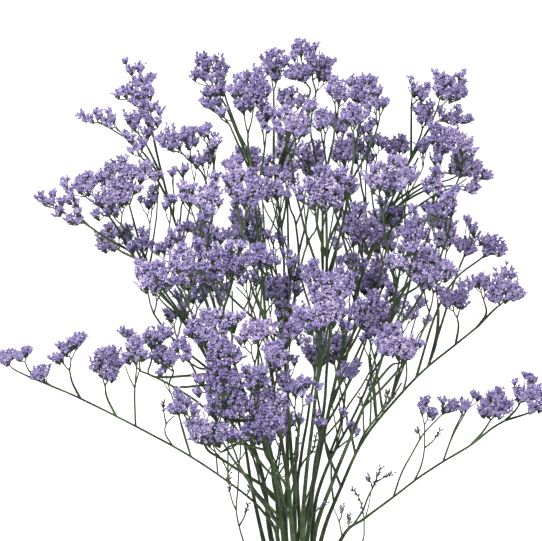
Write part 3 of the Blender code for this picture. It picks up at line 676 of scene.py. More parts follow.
                (139, 154, 6), (136, 152.5, 6), (143.5, 152.5, 5.5), (142, 147.5, 4.5), (145, 148.5, 4),
                (145, 164, 5), (140.5, 170, 2.5), (147.5, 161, 4.5), (143, 167, 3.5), (152, 155.5, 4.5)]),
            ([(104, 54), (118, 100), (132, 126), (152, 142)], [
                (156.5, 152.5, 6), (160.5, 155.5, 5), (162, 149.5, 6), (166.5, 147, 5.5),
                (155, 147, 4.5), (157.5, 157, 4), (165.5, 151, 4.5)]),
        ]),
        ("middle", [
            ([(150, 92), (155, 102), (153, 112)], [
                (145, 125.5, 5.5), (149, 125.5, 5.5), (153.5, 128, 5), (155, 122.5, 5),
                (157.5, 124, 4.5)]),
            ([(150, 92), (160, 104), (165, 108)], [
                (165, 129.5, 6), (169, 134, 6), (172, 131, 5), (166.5, 124, 7), (173.5, 124, 6.5),
                (162, 119.5, 6), (169, 116.5, 7), (176.5, 119.5, 6), (159, 115, 5.5), (178, 115, 5.5),
                (180.5, 116.5, 4), (163.5, 113.5, 5), (159, 121, 5)]),
            ([(134, 79), (135, 92), (134, 99)], [
                (126, 116.5, 6.5), (123, 112.5, 5.5), (127.5, 109.5, 5.5), (133, 112.5, 6.5),
                (129, 115, 6), (137.5, 115, 6), (139, 119.5, 5.5), (137.5, 122.5, 4.5), (143.5, 121, 3),
                (139, 109.5, 4.5), (134.5, 108, 4)]),
        ]),
        ("middle", [
            ([], [
                (61.5, 108, 6.5), (67, 109.5, 6.5), (73, 108, 7), (78.5, 108, 6), (67, 102, 7),
                (74, 101, 7), (80, 102, 5.5), (64, 96.5, 6), (70, 95, 6.5), (75.5, 95, 6),
                (61.5, 102, 6), (83, 106.5, 4.5), (87, 89.5, 5), (81.5, 92, 5), (74, 116, 5.5),
                (85.5, 102, 5), (81.5, 98.5, 4)]),
            ([], [(65.5, 84, 5), (70.5, 88.5, 5.5), (75.5, 90, 5)]),
            ([(44, 2), (50, 22), (53, 40), (54, 50)], [
                (54, 62.5, 5), (58.5, 62.5, 5.5), (61, 65.5, 4.5), (57, 58, 4.5), (49.5, 58, 3.5),
                (61, 60.5, 4)]),
        ]),
        ("back", [
            ([], [
                (26.5, 82.5, 5), (26.5, 77, 5.5), (28, 72.5, 6), (34, 74, 6.5), (35.5, 80, 6),
                (39.5, 75.5, 6.5), (38, 70, 5.5), (32.5, 68.5, 4.5), (29.5, 91.5, 5.5), (35.5, 87, 6)]),
            ([], [
                (41, 82.5, 7), (45.5, 78.5, 6.5), (47, 84, 6.5), (44, 70, 5.5), (52.5, 84, 6),
                (57, 82.5, 5.5), (51, 77, 6), (48, 72.5, 5), (52.5, 82.5, 4.5)]),
        ]),
    ],
    "right_arm": [
        ("middle", [
            ([(146, 7), (152, 16), (158, 25)], [
                (152, 35, 4), (153.5, 38, 4), (156.5, 32.5, 5.5), (152.5, 31, 4), (162, 46.5, 5),
                (159, 42.5, 4), (165, 41, 6), (162, 35, 6.5), (168, 35, 6), (170.5, 38, 5),
                (165, 31, 5), (159, 34, 5.5)]),
            ([(169, 24), (175, 31), (178, 35)], [
                (175.5, 52.5, 3), (177, 46.5, 4.5), (178, 42.5, 4), (183, 57.5, 2.5), (188, 55.5, 4.5),
                (187, 51, 5), (183.5, 46.5, 5.5), (183.5, 42.5, 5.5)]),
            ([(170, 24), (182, 29), (187, 31)], [
                (188, 45, 6.5), (192.5, 44, 6), (189.5, 38, 6.5), (194, 35, 5), (192.5, 48, 5),
                (188.5, 33, 5), (194.5, 39.5, 5)]),
        ]),
    ],
}
SPRIGS = {
    "left_arm": [
        (102, [(-176, 56), (-184, 61), (-188, 64)], [
            (-192, 72.5, 4.5), (-189.5, 70, 5.5), (-193.5, 68.5, 4.5), (-186.5, 72.5, 4.5),
            (-195, 73, 4), (-190.5, 67, 4)]),
        (102, [(-171, 54), (-175, 62), (-177, 67)], [
            (-182, 70.5, 4), (-178.5, 75, 5), (-175, 75.5, 4.5), (-180.5, 72.5, 4.5)]),
        (98, [(-158, 49), (-161, 52)], [
            (-166, 59, 6), (-170, 57.5, 4.5), (-162, 61, 4.5), (-165, 55.5, 4), (-167.5, 62, 4.5)]),
        (112, [(-97, 20), (-98, 34), (-98, 48), (-97, 66), (-101, 78)], [
            (-106, 88.5, 5), (-103, 87, 4.5), (-100, 85.5, 3)]),
        (100, [(-58, -1), (-65, 24), (-72, 44)], [(-80, 59.5, 3.5), (-76, 62, 2.5)]),
    ],
    "left_outer": [
        (92, [], [
            (-85, 186.5, 5), (-88, 181.5, 4.5), (-94, 184.5, 3.5), (-85.5, 192, 4.5), (-84, 185, 4.5)]),
        (98, [], [(-73.5, 184.5, 5), (-70, 184.5, 4), (-75.5, 180, 4)]),
        (96, [], [(-80, 201.5, 3), (-83.5, 199.5, 3)]),
    ],
    "left_tall": [
        (98, [(-78, 200), (-94, 220), (-114, 234), (-124, 239)], [
            (-134, 243, 4.5), (-126, 247, 3.5), (-129.5, 242, 4), (-137, 245, 3), (-124.5, 245.5, 5),
            (-120, 242, 5)]),
        (100, [(-78, 200), (-94, 220), (-108, 232)], [
            (-116.5, 247, 4), (-114.5, 242.5, 4.5), (-116.5, 238, 4)]),
        (100, [], [(-71, 203, 2.8), (-70, 205, 2)]),
        (104, [], [(-64, 205, 4.5), (-62, 207, 3.5)]),
        (114, [], [(-48, 216, 5.5), (-44, 215, 5.5), (-45.5, 219.5, 4), (-49.5, 212.5, 4.5)]),
        (108, [], [(-53.5, 211.5, 5), (-57, 213.5, 3.5)]),
        (112, [], [(-42, 222.5, 4), (-39.5, 225.5, 4.5), (-40.5, 229.5, 2.5)]),
    ],
    "centre": [
        (108, [(-8, 196), (-18, 222), (-28, 240)], [(-36, 248.5, 5), (-34.5, 246, 3.5)]),
        (112, [], [(-32.5, 210, 3.5), (-29.5, 211, 3)]),
        (108, [], [(-24.5, 216, 5.5), (-21, 215, 5.5), (-22.5, 219.5, 4)]),
        (100, [], [
            (-16.5, 218, 4), (-12, 219.5, 5), (-9.5, 212.5, 4.5), (-12, 213.5, 4.5), (-11, 208, 5)]),
        (104, [], [
            (-3.5, 212.5, 5.5), (-5, 206.5, 5.5), (0.5, 213.5, 4), (3.5, 206.5, 4), (6, 205, 5),
            (-1.5, 203.5, 5)]),
        (110, [], [
            (-3.5, 194.5, 6), (-3.5, 188.5, 6), (2, 190, 6.5), (3.5, 196, 6), (8, 191.5, 6),
            (12, 187, 5.5), (15, 200, 6), (9.5, 201.5, 6)]),
        (108, [(4, 200), (24, 240), (33, 262)], [(38, 275, 6), (42, 273, 5), (35.5, 273, 4.5)]),
        (88, [], [(2, 156, 4), (8, 156, 4.5), (-2, 158.5, 3.5)]),
        (100, [], [(-18, 128, 6), (-12, 131, 5), (-21, 124, 4), (-11, 126.5, 5)]),
        (106, [], [
            (-5, 125.5, 5), (-2, 122.5, 5.5), (2, 126.5, 5), (5, 124, 5.5), (-3.5, 115, 4),
            (0.5, 116.5, 5)]),
        (80, [], [(12, 71, 4.5), (16.5, 68.5, 4.5), (12, 82.5, 4)]),
    ],
    "front_centre": [
        (128, [], [(12, 145.5, 5), (13.5, 139.5, 6.5), (16.5, 141, 4)]),
        (134, [], [(21, 25, 3.5), (19, 27, 3)]),
    ],
    "front_right": [
        (132, [], [(32.5, 29.5, 4), (34, 23.5, 4.5), (38, 23.5, 3.5)]),
    ],
    "right_upper": [
        (96, [], [(110, 223, 4.5), (111.5, 225.5, 4), (107.5, 222.5, 4), (109, 219, 3)]),
        (104, [], [(73, 227.5, 6), (77, 228, 5.5), (70, 228, 4), (81.5, 225.5, 5.5)]),
        (104, [], [
            (87, 225.5, 5), (91.5, 225.5, 6), (93, 221, 5), (97.5, 224, 5), (84.5, 221, 5),
            (88.5, 221, 5), (96.5, 219.5, 4), (94.5, 229, 4)]),
        (118, [], [(70.5, 212.5, 4), (73, 214, 3)]),
        (110, [], [(73, 239.5, 4.5), (70, 235.5, 4.5), (67, 234, 3.5)]),
        (104, [], [(47.5, 151, 4.5), (46, 154, 3), (47.5, 150.5, 4)]),
        (96, [], [(54, 142, 5), (49.5, 139.5, 4.5), (57, 137, 4), (60, 142.5, 4), (66, 137.5, 5.5)]),
        (92, [], [(87, 119.5, 5), (84.5, 122.5, 4.5), (90, 115, 4), (83, 115, 3.5)]),
    ],
    "right_long": [
        (96, [(88, 38), (92, 66), (95, 88)], [
            (96, 109.5, 4), (101.5, 105, 5), (97.5, 102, 5.5), (103, 102, 5), (91.5, 105, 3),
            (90.5, 108, 5)]),
        (92, [(88, 38), (98, 78), (104, 98)], [(108, 109.5, 4.5), (106, 112, 3)]),
        (98, [(88, 38), (98, 70), (107, 88)], [(111.5, 96.5, 3.5), (114, 98, 2)]),
        (90, [(114, 63), (119, 88), (120, 110)], [(120.5, 119.5, 4.5)]),
        (96, [(45, 2), (52, 8), (57, 12)], [(59, 19.5, 5), (62, 16.5, 3.5), (57, 22, 3)]),
        (102, [(44, -2), (48, 10), (51, 20)], [(52.5, 29, 3), (51, 31, 2)]),
    ],
    "right_arm": [
        (98, [(104, -20), (108, -8), (110.5, 5), (110.5, 22)], [
            (110, 36.5, 6), (109, 32.5, 6), (116, 32.5, 5.5), (117.5, 29, 4), (111.5, 39.5, 5),
            (107.5, 35, 4)]),
        (94, [(88, -32), (94, -13), (101, 0), (109, 14), (117, 23), (123, 29)], [
            (124, 39.5, 3.5), (125.5, 34.5, 5.5), (130.5, 35, 5.5), (130.5, 38, 4.5), (134, 34, 4)]),
        (98, [(125, -6), (128, 7), (132, 18), (136, 26)], [
            (139.5, 38, 5), (140.5, 34, 5.5), (137.5, 32.5, 4)]),
        (92, [(125, -6), (128, 7), (133, 18), (142, 34)], [(146, 44, 3.5), (149, 41.5, 3)]),
    ],
}

# Places where the masses of florets are airier, given as column, row and reach in the photo's pixels, and
# worked out in millimetres from the photo's scale and the middle of its lower edge.
AIRY_READINGS = [
    (267, 125, 8), (274, 117, 7), (357, 130, 10), (366, 113, 9), (386, 105, 9), (430, 190, 11),
    (470, 190, 9), (188, 327, 7), (343, 291, 8), (277, 303, 9), (277, 318, 9), (300, 338, 10),
    (317, 325, 8), (302, 390, 9), (287, 403, 7), (350, 412, 7), (355, 335, 9), (366, 341, 9),
    (247, 278, 8), (303, 277, 7), (150, 172, 7), (138, 148, 7), (178, 142, 8), (295, 197, 8),
    (322, 205, 7), (443, 122, 8), (208, 137, 6), (404, 150, 8), (384, 283, 7), (237, 78, 6),
    (220, 66, 7), (197, 66, 6), (475, 175, 8), (234, 415, 9), (244, 432, 7), (186, 425, 7),
    (420, 410, 9), (460, 408, 7), (455, 305, 9), (235, 402, 7), (105, 377, 7), (415, 347, 9),
    (280, 67, 7),
]
PIXEL = 0.72
MIDDLE_COLUMN = 271
LAST_ROW = 541
LAST_ROW_Y = -62.0
THINNED_PLACES = [
    (round(PIXEL * (column - MIDDLE_COLUMN), 1), round(PIXEL * (LAST_ROW - row) + LAST_ROW_Y, 1),
     round(PIXEL * reach, 1))
    for column, row, reach in AIRY_READINGS
]
THINNING = 0.66
THINNED_LEAST = 2.5
HEAD_LIFT = (8.0, 11.0)
NEAR_WAVE = (0.21, 0.13)
FAR_WAVE = (0.045, 0.06)
GROUP_LIFT = 0.6
TUFT_LIFT = 0.4
CROWN_MARGIN = 4.0
CROWN = 0.3
TUFT_SIZE = 0.92
SMALL_HEAD = 9
SMALL_TUFT_SIZE = 0.82
DEPTH_SCATTER = 3.5
RESTING = {"head_left_tall_5", "head_centre_6", "head_right_upper_5", "head_right_long_4"}
PRESSED = 2.2


def head_lift(x, y):
    """How far a part of a head stands in front of or behind the middle of its level."""
    near, far = HEAD_LIFT
    near_wave = math.sin(NEAR_WAVE[0] * x + NEAR_WAVE[1] * y)
    far_wave = math.sin(FAR_WAVE[0] * x - FAR_WAVE[1] * y)
    return near * near_wave + far * far_wave


def airy(x, y, radius):
    """The radius of a tuft in millimetres, a third smaller in the airier places of the bunch."""
    if all(math.hypot(x - place_x, y - place_y) >= reach for place_x, place_y, reach in THINNED_PLACES):
        return radius
    return 0.5 * round(2.0 * max(THINNED_LEAST, THINNING * radius))


def tuft_places(level, tufts, draw):
    """The middle and radius of each tuft of a group. The group is crowned towards its own middle."""
    middle_x = sum(x for x, y, radius in tufts) / len(tufts)
    middle_y = sum(y for x, y, radius in tufts) / len(tufts)
    reach = max(math.hypot(x - middle_x, y - middle_y) for x, y, radius in tufts) + CROWN_MARGIN
    height = level + GROUP_LIFT * head_lift(middle_x, middle_y)
    size = TUFT_SIZE if len(tufts) > SMALL_HEAD else SMALL_TUFT_SIZE
    placed = []
    for x, y, radius in tufts:
        away = math.hypot(x - middle_x, y - middle_y) / reach
        crown = CROWN * reach * (0.5 - away * away)
        z = height + TUFT_LIFT * head_lift(x, y) + crown + draw.uniform(-DEPTH_SCATTER, DEPTH_SCATTER)
        placed.append((sightline(settle(x, y, z)), mm(size * airy(x, y, radius))))
    return placed


def sightline(spot):
    """Moves a place read in the picture along the camera's line of sight to its own depth."""
    nearer = (mm(CAMERA_HEIGHT) - spot.z) / mm(CAMERA_HEIGHT - PICTURE_LEVEL)
    middle = mm(PICTURE_MIDDLE_Y)
    return Vector((spot.x * nearer, middle + (spot.y - middle) * nearer, spot.z))


# The branches
# Thin stiff side shoots that leave a stem in its upper half, fork again below each group of tufts, and end
# in the single tufts. They are the same dark green as the stems, and thinner at every fork.

BRANCH_RADIUS_FOOT = 1.0
BRANCH_RADIUS_TIP = 0.68
SPRIG_RADIUS_FOOT = 0.75
SPRIG_RADIUS_TIP = 0.5
TWIG_RADIUS = 0.34
FORK_THINNING = 0.35
BRANCH_SLANTS = (3.0, 2.0, 1.3, 0.8, 0.5, 0.3)
LONGEST_BRANCH = 115.0
FORK_DROP = 4.0
NECK_DROP = 9.0
NECK_SPREAD = 0.45
NECK_LEAN = 5.0
LED_DROP = 4.0
BRANCH_STEPS = 7
WIND = 0.04
CROOK = 0.008
BOW_ACROSS = 0.22
BOW_LIFT = 0.35
WAY_STEPS = 4
TWIG_BEND = 0.12
FORK_BEND = 0.15
FORK_WIDE = 0.7
FORK_AT = (0.45, 0.65)


def fork_place(route, target, taken, slants, drop, longest):
    """The highest place on a stem from which a branch climbs steeply enough to the target."""
    for steepness in slants:
        for place in range(len(route) - 2, 0, -1):
            reach = target - route[place]
            steep = reach.y >= steepness * (abs(reach.x) + mm(drop))
            if steep and reach.length < mm(longest) and place not in taken:
                return place
    return max(1, len(route) // 3)


def nearest_spot(stem, x, y):
    """The point of a stem or of its shoots that is nearest to a point of the picture."""
    route = routes[stem]
    spots = [(spot, place + 1) for place, spot in enumerate(route[1:])]
    spots += [(spot, 0) for line in shoots[stem] for spot in line]
    spot, place = min(spots, key=lambda pair: (pair[0].x - mm(x)) ** 2 + (pair[0].y - mm(y)) ** 2)
    highest[stem] = max(highest[stem], place)
    return spot


def bowed(start, end, draw):
    """A shoot that leaves its stem at a slant, then bends up towards its end."""
    reach = end - start
    knee = start.lerp(end, 0.5)
    knee.x += BOW_ACROSS * reach.x
    knee.z = start.z + BOW_LIFT * reach.z
    wind = WIND * reach.length
    knee += Vector((draw.uniform(-wind, wind), 0.0, draw.uniform(-wind, wind)))
    crook = CROOK * reach.length
    line = [start]
    for step in range(1, BRANCH_STEPS):
        t = step / BRANCH_STEPS
        spot = (1.0 - t) ** 2 * start + 2.0 * t * (1.0 - t) * knee + t * t * end
        line.append(spot + Vector((draw.uniform(-crook, crook), 0.0, draw.uniform(-crook, crook))))
    line.append(end)
    return line


def led(start, way, end_z):
    """A shoot along points read in the picture, rising evenly from its stem to its end's height."""
    flat = [Vector((mm(x), mm(y), 0.0)) for x, y in way]
    lengths = [0.0]
    for before, after in zip([Vector((start.x, start.y, 0.0))] + flat, flat):
        lengths.append(lengths[-1] + (after - before).length)
    points = [start]
    for spot, length in zip(flat, lengths[1:]):
        height = start.z + (mm(end_z) - start.z) * length / lengths[-1]
        points.append(sightline(Vector((spot.x, spot.y, height))))
    return smooth_route(points, WAY_STEPS)


def tapered(line, foot, tip):
    last = len(line) - 1
    return [foot + (tip - foot) * place / last for place in range(last + 1)]


# The shoots that show between the heads: the radius at the foot and at the tip, the height of the end,
# the number of buds, with 0 for none, and the way from the stem.
SHOOTS = {
    "left_outer": [
        (0.65, 0.4, 78, 0, [(4, -104), (-8, -84), (-17, -69), (-22, -55), (-25, -40), (-24, -26),
                            (-23, -8), (-22, 6), (-25, 20)]),
        (0.5, 0.3, 72, 3, [(-22, -53), (-19, -44), (-16.5, -35)]),
        (0.45, 0.25, 74, 5, [(-25, -40), (-28, -33), (-30, -24), (-30, -14)]),
        (0.85, 0.5, 76, 0, [(-38, 55), (-60, 94), (-74, 114), (-88, 134), (-98, 150), (-104, 166)]),
        (0.75, 0.45, 72, 0, [(-42, 61), (-56, 90), (-66, 110), (-82, 128), (-92, 146)]),
        (0.6, 0.4, 70, 0, [(-66, 99), (-78, 110), (-88, 124)]),
    ],
    "left_tall": [
        (0.7, 0.45, 90, 0, [(-30, 58), (-28, 85), (-27.7, 100), (-28, 118)]),
        (0.7, 0.45, 92, 0, [(-34, 70), (-24, 96), (-16, 112), (-14, 128)]),
    ],
    "left_arm": [
        (0.7, 0.45, 118, 0, [(-97, 20), (-98, 34), (-98, 48), (-95, 60)]),
        (0.5, 0.35, 120, 0, [(-98, 48), (-102, 56), (-105, 64)]),
        (0.6, 0.4, 110, 0, [(-75, 5), (-76, 15), (-75.5, 22), (-70, 28)]),
        (0.45, 0.3, 112, 4, [(-75.5, 22), (-77, 30), (-77.5, 38)]),
        (0.6, 0.4, 122, 0, [(-58, -1), (-62, 12), (-65.5, 25), (-66, 33)]),
        (0.6, 0.4, 122, 0, [(-38, -14), (-39, -6), (-40, 2), (-43, 10)]),
        (0.6, 0.4, 112, 0, [(-30, -21), (-31, -13), (-34, -6), (-38, 0), (-47, 8)]),
        (0.55, 0.4, 112, 0, [(-31, -13), (-31, 0), (-31, 10)]),
        (0.5, 0.35, 106, 0, [(-31, -13), (-27, -7), (-22, -3), (-17, 4), (-10, 10)]),
        (0.45, 0.3, 98, 4, [(-20, -29), (-17.5, -29), (-15.5, -25), (-15, -20)]),
    ],
    "centre": [
        (1.5, 0.8, 112, 0, [(13, -50), (8, -38), (0, -29), (-6, -22), (-14, -17), (-20, -13), (-28, -8),
                            (-37, -2), (-45, 3), (-49, 10)]),
        (1.45, 1.0, 100, 0, [(14, -88), (5, -62), (5, -45), (4, -30), (2, -20), (1, -8), (-1, 5),
                             (-4, 22)]),
        (0.6, 0.4, 96, 0, [(2, -20), (8, -10), (13, -3), (17, 2), (18, 12)]),
        (0.6, 0.4, 98, 0, [(4, -30), (-5, -21), (-10, -8), (-14, 0), (-17, 6)]),
        (0.55, 0.35, 96, 0, [(-5, -21), (-2, -12), (1, -6)]),
        (0.55, 0.35, 98, 0, [(1, -8), (-4, 0), (-6, 8)]),
        (0.6, 0.35, 100, 4, [(12, -62), (8, -44), (7, -30), (5, -14), (6, -4), (7, 8), (6, 18)]),
        (0.5, 0.3, 100, 4, [(7, -38), (10, -28), (11, -22), (10, -14)]),
        (1.5, 0.9, 110, 0, [(14, -82), (17, -60), (17, -40), (17, -20), (15, -5), (14, 10), (13, 25),
                            (12, 40)]),
        (1.35, 0.6, 108, 0, [(15, -74), (20.5, -55), (20, -40), (19, -20), (21, -6), (23, 8), (26, 24),
                             (28, 38),
                             (31, 54), (33, 72)]),
        (0.6, 0.35, 104, 4, [(19, -22), (17, -10), (19, 2), (19.5, 14), (17, 24)]),
        (0.6, 0.35, 100, 4, [(19, -15), (24, -4), (30, 3), (33, 16)]),
        (0.9, 0.6, 100, 0, [(10, 76), (12.5, 110), (12.5, 149), (11.5, 194)]),
        (0.8, 0.5, 96, 0, [(10, 84), (19.7, 132), (17.9, 165.6), (13.7, 178), (12, 191)]),
        (0.6, 0.4, 96, 0, [(17.9, 165.6), (22.7, 178), (25, 191)]),
        (0.6, 0.4, 98, 0, [(12.5, 130), (11.3, 149.4), (4.5, 162), (-3.7, 176), (-8, 189)]),
        (0.6, 0.4, 98, 0, [(9, 104), (1.7, 147), (5.3, 162), (7, 180), (7.5, 192)]),
        (0.5, 0.35, 96, 0, [(5.3, 161), (10, 174), (12, 193)]),
        (0.6, 0.4, 96, 0, [(9, 96), (-4.3, 150), (0.5, 163), (4, 176), (6, 189)]),
        (0.7, 0.45, 100, 0, [(9, 90), (-5, 140), (-5, 165), (-7, 193)]),
        (0.6, 0.4, 96, 0, [(11, 44), (-6, 85), (-11.5, 100), (-16, 111), (-25, 121)]),
        (0.6, 0.4, 96, 0, [(10, 66), (6, 90), (3, 111), (2, 122)]),
    ],
    "front_centre": [
        (0.6, 0.4, 134, 0, [(-3, 80), (-4.3, 100), (6.5, 115)]),
        (0.6, 0.4, 134, 0, [(-4, 98), (-10.9, 119), (-1, 132)]),
        (0.6, 0.4, 132, 0, [(-6, 126), (-15, 100), (-16, 112)]),
    ],
    "front_right": [
        (1.1, 0.7, 150, 0, [(37, 100), (40.1, 134.4), (39.5, 190)]),
        (0.7, 0.5, 146, 0, [(37, 110), (40.1, 135.6), (38.9, 146.4), (34.1, 159.6), (31.7, 176.4),
                            (31, 190)]),
        (0.7, 0.5, 140, 0, [(36, 88), (22, 126), (23, 142), (28.1, 156), (32.9, 164.4), (35, 190)]),
        (0.6, 0.4, 140, 0, [(24, 145), (25.7, 152), (25.1, 165.6), (22.5, 191)]),
        (0.6, 0.4, 148, 0, [(40, 135), (40.7, 144), (41.9, 156), (44.9, 174), (47, 192)]),
        (0.6, 0.4, 148, 0, [(40, 135), (41.3, 144), (46.1, 159.6), (49.7, 175.2), (53, 195)]),
        (1.45, 0.7, 136, 0, [(24, -76), (28, -45), (30, -25), (32, -5), (35, 10), (37, 25), (39, 42),
                             (40, 60),
                            (42, 84), (43, 104)]),
        (0.5, 0.3, 110, 3, [(28, -45), (33, -40), (40, -34)]),
    ],
    "front_far": [
        (1.25, 0.6, 126, 0, [(31, -78), (29.5, -60), (32, -35), (36, -20), (42, -5), (47, 5), (52, 14),
                             (58, 25), (67, 44), (72, 57), (80, 70), (84, 76)]),
        (0.55, 0.35, 118, 0, [(47, 5), (47.5, 15), (45, 30), (43, 44)]),
        (0.5, 0.35, 120, 0, [(52, 14), (50, 28), (49, 44)]),
        (0.6, 0.4, 126, 0, [(42, -5), (39, 8), (40, 22), (44, 38)]),
    ],
    "right_upper": [
        (1.0, 0.6, 84, 0, [(71, 144), (84, 172), (98, 198), (106, 214)]),
        (0.8, 0.5, 84, 0, [(66, 130), (78, 158), (92, 180), (112, 194), (128, 198), (139, 204)]),
        (0.7, 0.45, 80, 0, [(71, 144), (92, 168), (116, 186), (132, 193), (141, 199)]),
        (0.7, 0.45, 84, 0, [(60, 104), (62, 130), (57, 149), (51, 160)]),
        (0.6, 0.4, 84, 0, [(60, 110), (51, 138), (58, 150), (60, 160)]),
    ],
    "right_long": [
        (0.7, 0.45, 104, 0, [(44, -38), (43.5, -20), (43, -3), (39, 10), (33, 20)]),
        (0.8, 0.5, 84, 0, [(61, -4), (67, 15), (76, 27), (86, 39), (94, 52)]),
        (0.5, 0.35, 90, 4, [(67, 15), (66.5, 24), (66, 36), (63, 42)]),
        (0.5, 0.35, 90, 5, [(72, 22), (72, 42), (70, 54)]),
        (0.5, 0.35, 92, 5, [(77, 27), (75, 44), (73.5, 56), (71, 72)]),
        (0.45, 0.25, 90, 6, [(78, 29), (82, 36), (88, 43)]),
        (0.45, 0.25, 90, 6, [(80, 33), (83, 40), (84, 46)]),
        (0.7, 0.5, 122, 0, [(97, 45), (97.5, 56), (97.5, 68)]),
        (0.7, 0.4, 90, 0, [(115, 64), (119, 80), (121, 100), (120, 112)]),
    ],
    "right_arm": [
        (0.6, 0.4, 92, 0, [(104, -20), (108, -8), (110.5, 5), (110.5, 22)]),
        (0.6, 0.4, 90, 0, [(88, -32), (94, -13), (101, 0), (109, 14), (117, 23)]),
        (0.45, 0.25, 90, 3, [(110.5, 6), (117, 10.5), (122, 18)]),
        (0.45, 0.25, 90, 4, [(107, 10), (107, 15), (105, 18)]),
        (0.55, 0.3, 66, 6, [(61, -54), (66, -40), (70, -30), (74, -22), (77, -14), (79, -9)]),
        (0.45, 0.25, 66, 4, [(74, -22), (80, -17), (87, -13)]),
        (0.45, 0.25, 66, 4, [(73, -25), (72, -20), (69.5, -16)]),
        (0.5, 0.3, 60, 5, [(44, -78), (64.5, -64), (67, -50), (66, -40), (63, -30), (58, -24)]),
        (0.45, 0.3, 62, 0, [(67, -50), (70, -38), (72, -26)]),
        (0.5, 0.3, 62, 0, [(53, -61), (49, -48), (45, -38)]),
        (0.4, 0.25, 62, 5, [(53, -61), (56, -51), (56, -43)]),
        (0.4, 0.25, 62, 4, [(50, -50), (51, -43), (51, -37)]),
    ],
}
BUD_SHARE = 0.5
SHOOT_THICKNESS = 1.18
BUD_SHOOT_THICKNESS = 1.45
highest = {stem_name: 0 for stem_name in STEM_ROUTES}
shoots = {stem_name: [] for stem_name in STEM_ROUTES}
budded = {stem_name: [] for stem_name in STEM_ROUTES}
for stem_name, laid in SHOOTS.items():
    for foot, tip, end_z, buds, way in laid:
        line = led(nearest_spot(stem_name, *way[0]), way[1:], end_z)
        shoots[stem_name].append(line)
        girth = BUD_SHOOT_THICKNESS if buds else SHOOT_THICKNESS
        runs[stem_name]["branch"].append((line, tapered(line, girth * foot, girth * tip)))
        if buds:
            budded[stem_name].append((line, buds))


def fork_out(stem, root, ends, foot, tip, draw):
    """Fork again and again from a root, until each end has its own twig."""
    if len(ends) == 1:
        bend = root.lerp(ends[0], 0.5)
        bend.x += TWIG_BEND * (ends[0].x - root.x)
        runs[stem]["twig"].append(([root, bend, ends[0]], [foot, 0.5 * (foot + tip), tip]))
        return
    wide = max(end.x for end in ends) - min(end.x for end in ends)
    deep = max(end.z for end in ends) - min(end.z for end in ends)
    across = 0 if wide > FORK_WIDE * deep else 2
    ordered = sorted(ends, key=lambda end: end[across])
    cut = max(1, min(len(ends) - 1, len(ends) // 2 + draw.choice((-1, 0, 0, 1))))
    for side in (ordered[:cut], ordered[cut:]):
        thinner = foot + (tip - foot) * FORK_THINNING
        if len(side) == 1:
            fork_out(stem, root, side, thinner, tip, draw)
            continue
        middle = sum(side, Vector()) / len(side)
        fork = root.lerp(middle, draw.uniform(*FORK_AT))
        bend = root.lerp(fork, 0.5)
        bend.x += FORK_BEND * (fork.x - root.x)
        runs[stem]["twig"].append(([root, bend, fork], [foot, thinner, thinner]))
        fork_out(stem, fork, side, thinner, tip, draw)


# The florets
# One papery flower cup of five pleated lobes with a sunken middle, 3 mm across, on a narrow green base.
# It is modelled once. Its map runs round the cup in u, inside one of many tone strips, and up it in v.

LOBES = 5
CUP_RING = 2 * LOBES
CUP_NOTCH = 0.55
CUP_LIP = 0.2
CUP_SINK = 0.34
CUP_HALF_WIDTH = 1.42
CUP_LENGTH = 3.5
RIM_V = 0.72
STRIPS = 24
PETAL_STRIPS = STRIPS - 1


def make_floret():
    """The cup as corners and triangles: the apex at the origin, the rim at height 1 and radius 1."""
    bpy.ops.mesh.primitive_cone_add(vertices=CUP_RING, radius1=0.0, radius2=1.0, depth=1.0,
                                    end_fill_type="TRIFAN", location=(0.0, 0.0, 0.5))
    cup = bpy.context.active_object
    bpy.ops.object.transform_apply(location=True, rotation=False, scale=False)
    for corner in cup.data.vertices:
        across = math.hypot(corner.co.x, corner.co.y)
        if across > 0.5:
            turn = round(math.atan2(corner.co.y, corner.co.x) / (math.pi / LOBES))
            if turn % 2:
                corner.co.x *= CUP_NOTCH
                corner.co.y *= CUP_NOTCH
                corner.co.z -= CUP_LIP
        elif corner.co.z > 0.5:
            corner.co.z -= CUP_SINK
    corners = np.array([corner.co[:] for corner in cup.data.vertices])
    faces = np.array([face.vertices[:] for face in cup.data.polygons])
    bpy.data.objects.remove(cup)
    return corners, faces


def floret_map(corners, faces):
    """Each triangle's own place on the map: its turn round the cup, and its height up the cup."""
    turn = np.arctan2(corners[:, 1], corners[:, 0]) / (2.0 * math.pi) % 1.0
    spread = np.hypot(corners[:, 0], corners[:, 1])
    spots = np.zeros((len(faces), 3, 2))
    for number, face in enumerate(faces):
        ring = [corner for corner in face if spread[corner] > 0.5]
        turns = [turn[corner] for corner in ring]
        if max(turns) - min(turns) > 0.5:
            turns = [value + 1.0 if value < 0.5 else value for value in turns]
        start = min(turns)
        for slot, corner in enumerate(face):
            if spread[corner] > 0.5:
                spots[number, slot] = (turns[ring.index(corner)], RIM_V)
            else:
                top = corners[corner, 2] > 0.3
                spots[number, slot] = (start + 0.5 / CUP_RING, 1.0 if top else 0.0)
    return spots


floret_corners, floret_faces = make_floret()
floret_spots = floret_map(floret_corners, floret_faces)


# The tufts
# The smallest parts of a head: a few short curved spikes that fan out from one twig, each with its
# florets in two rows on the outer side, and a green scale at its foot.

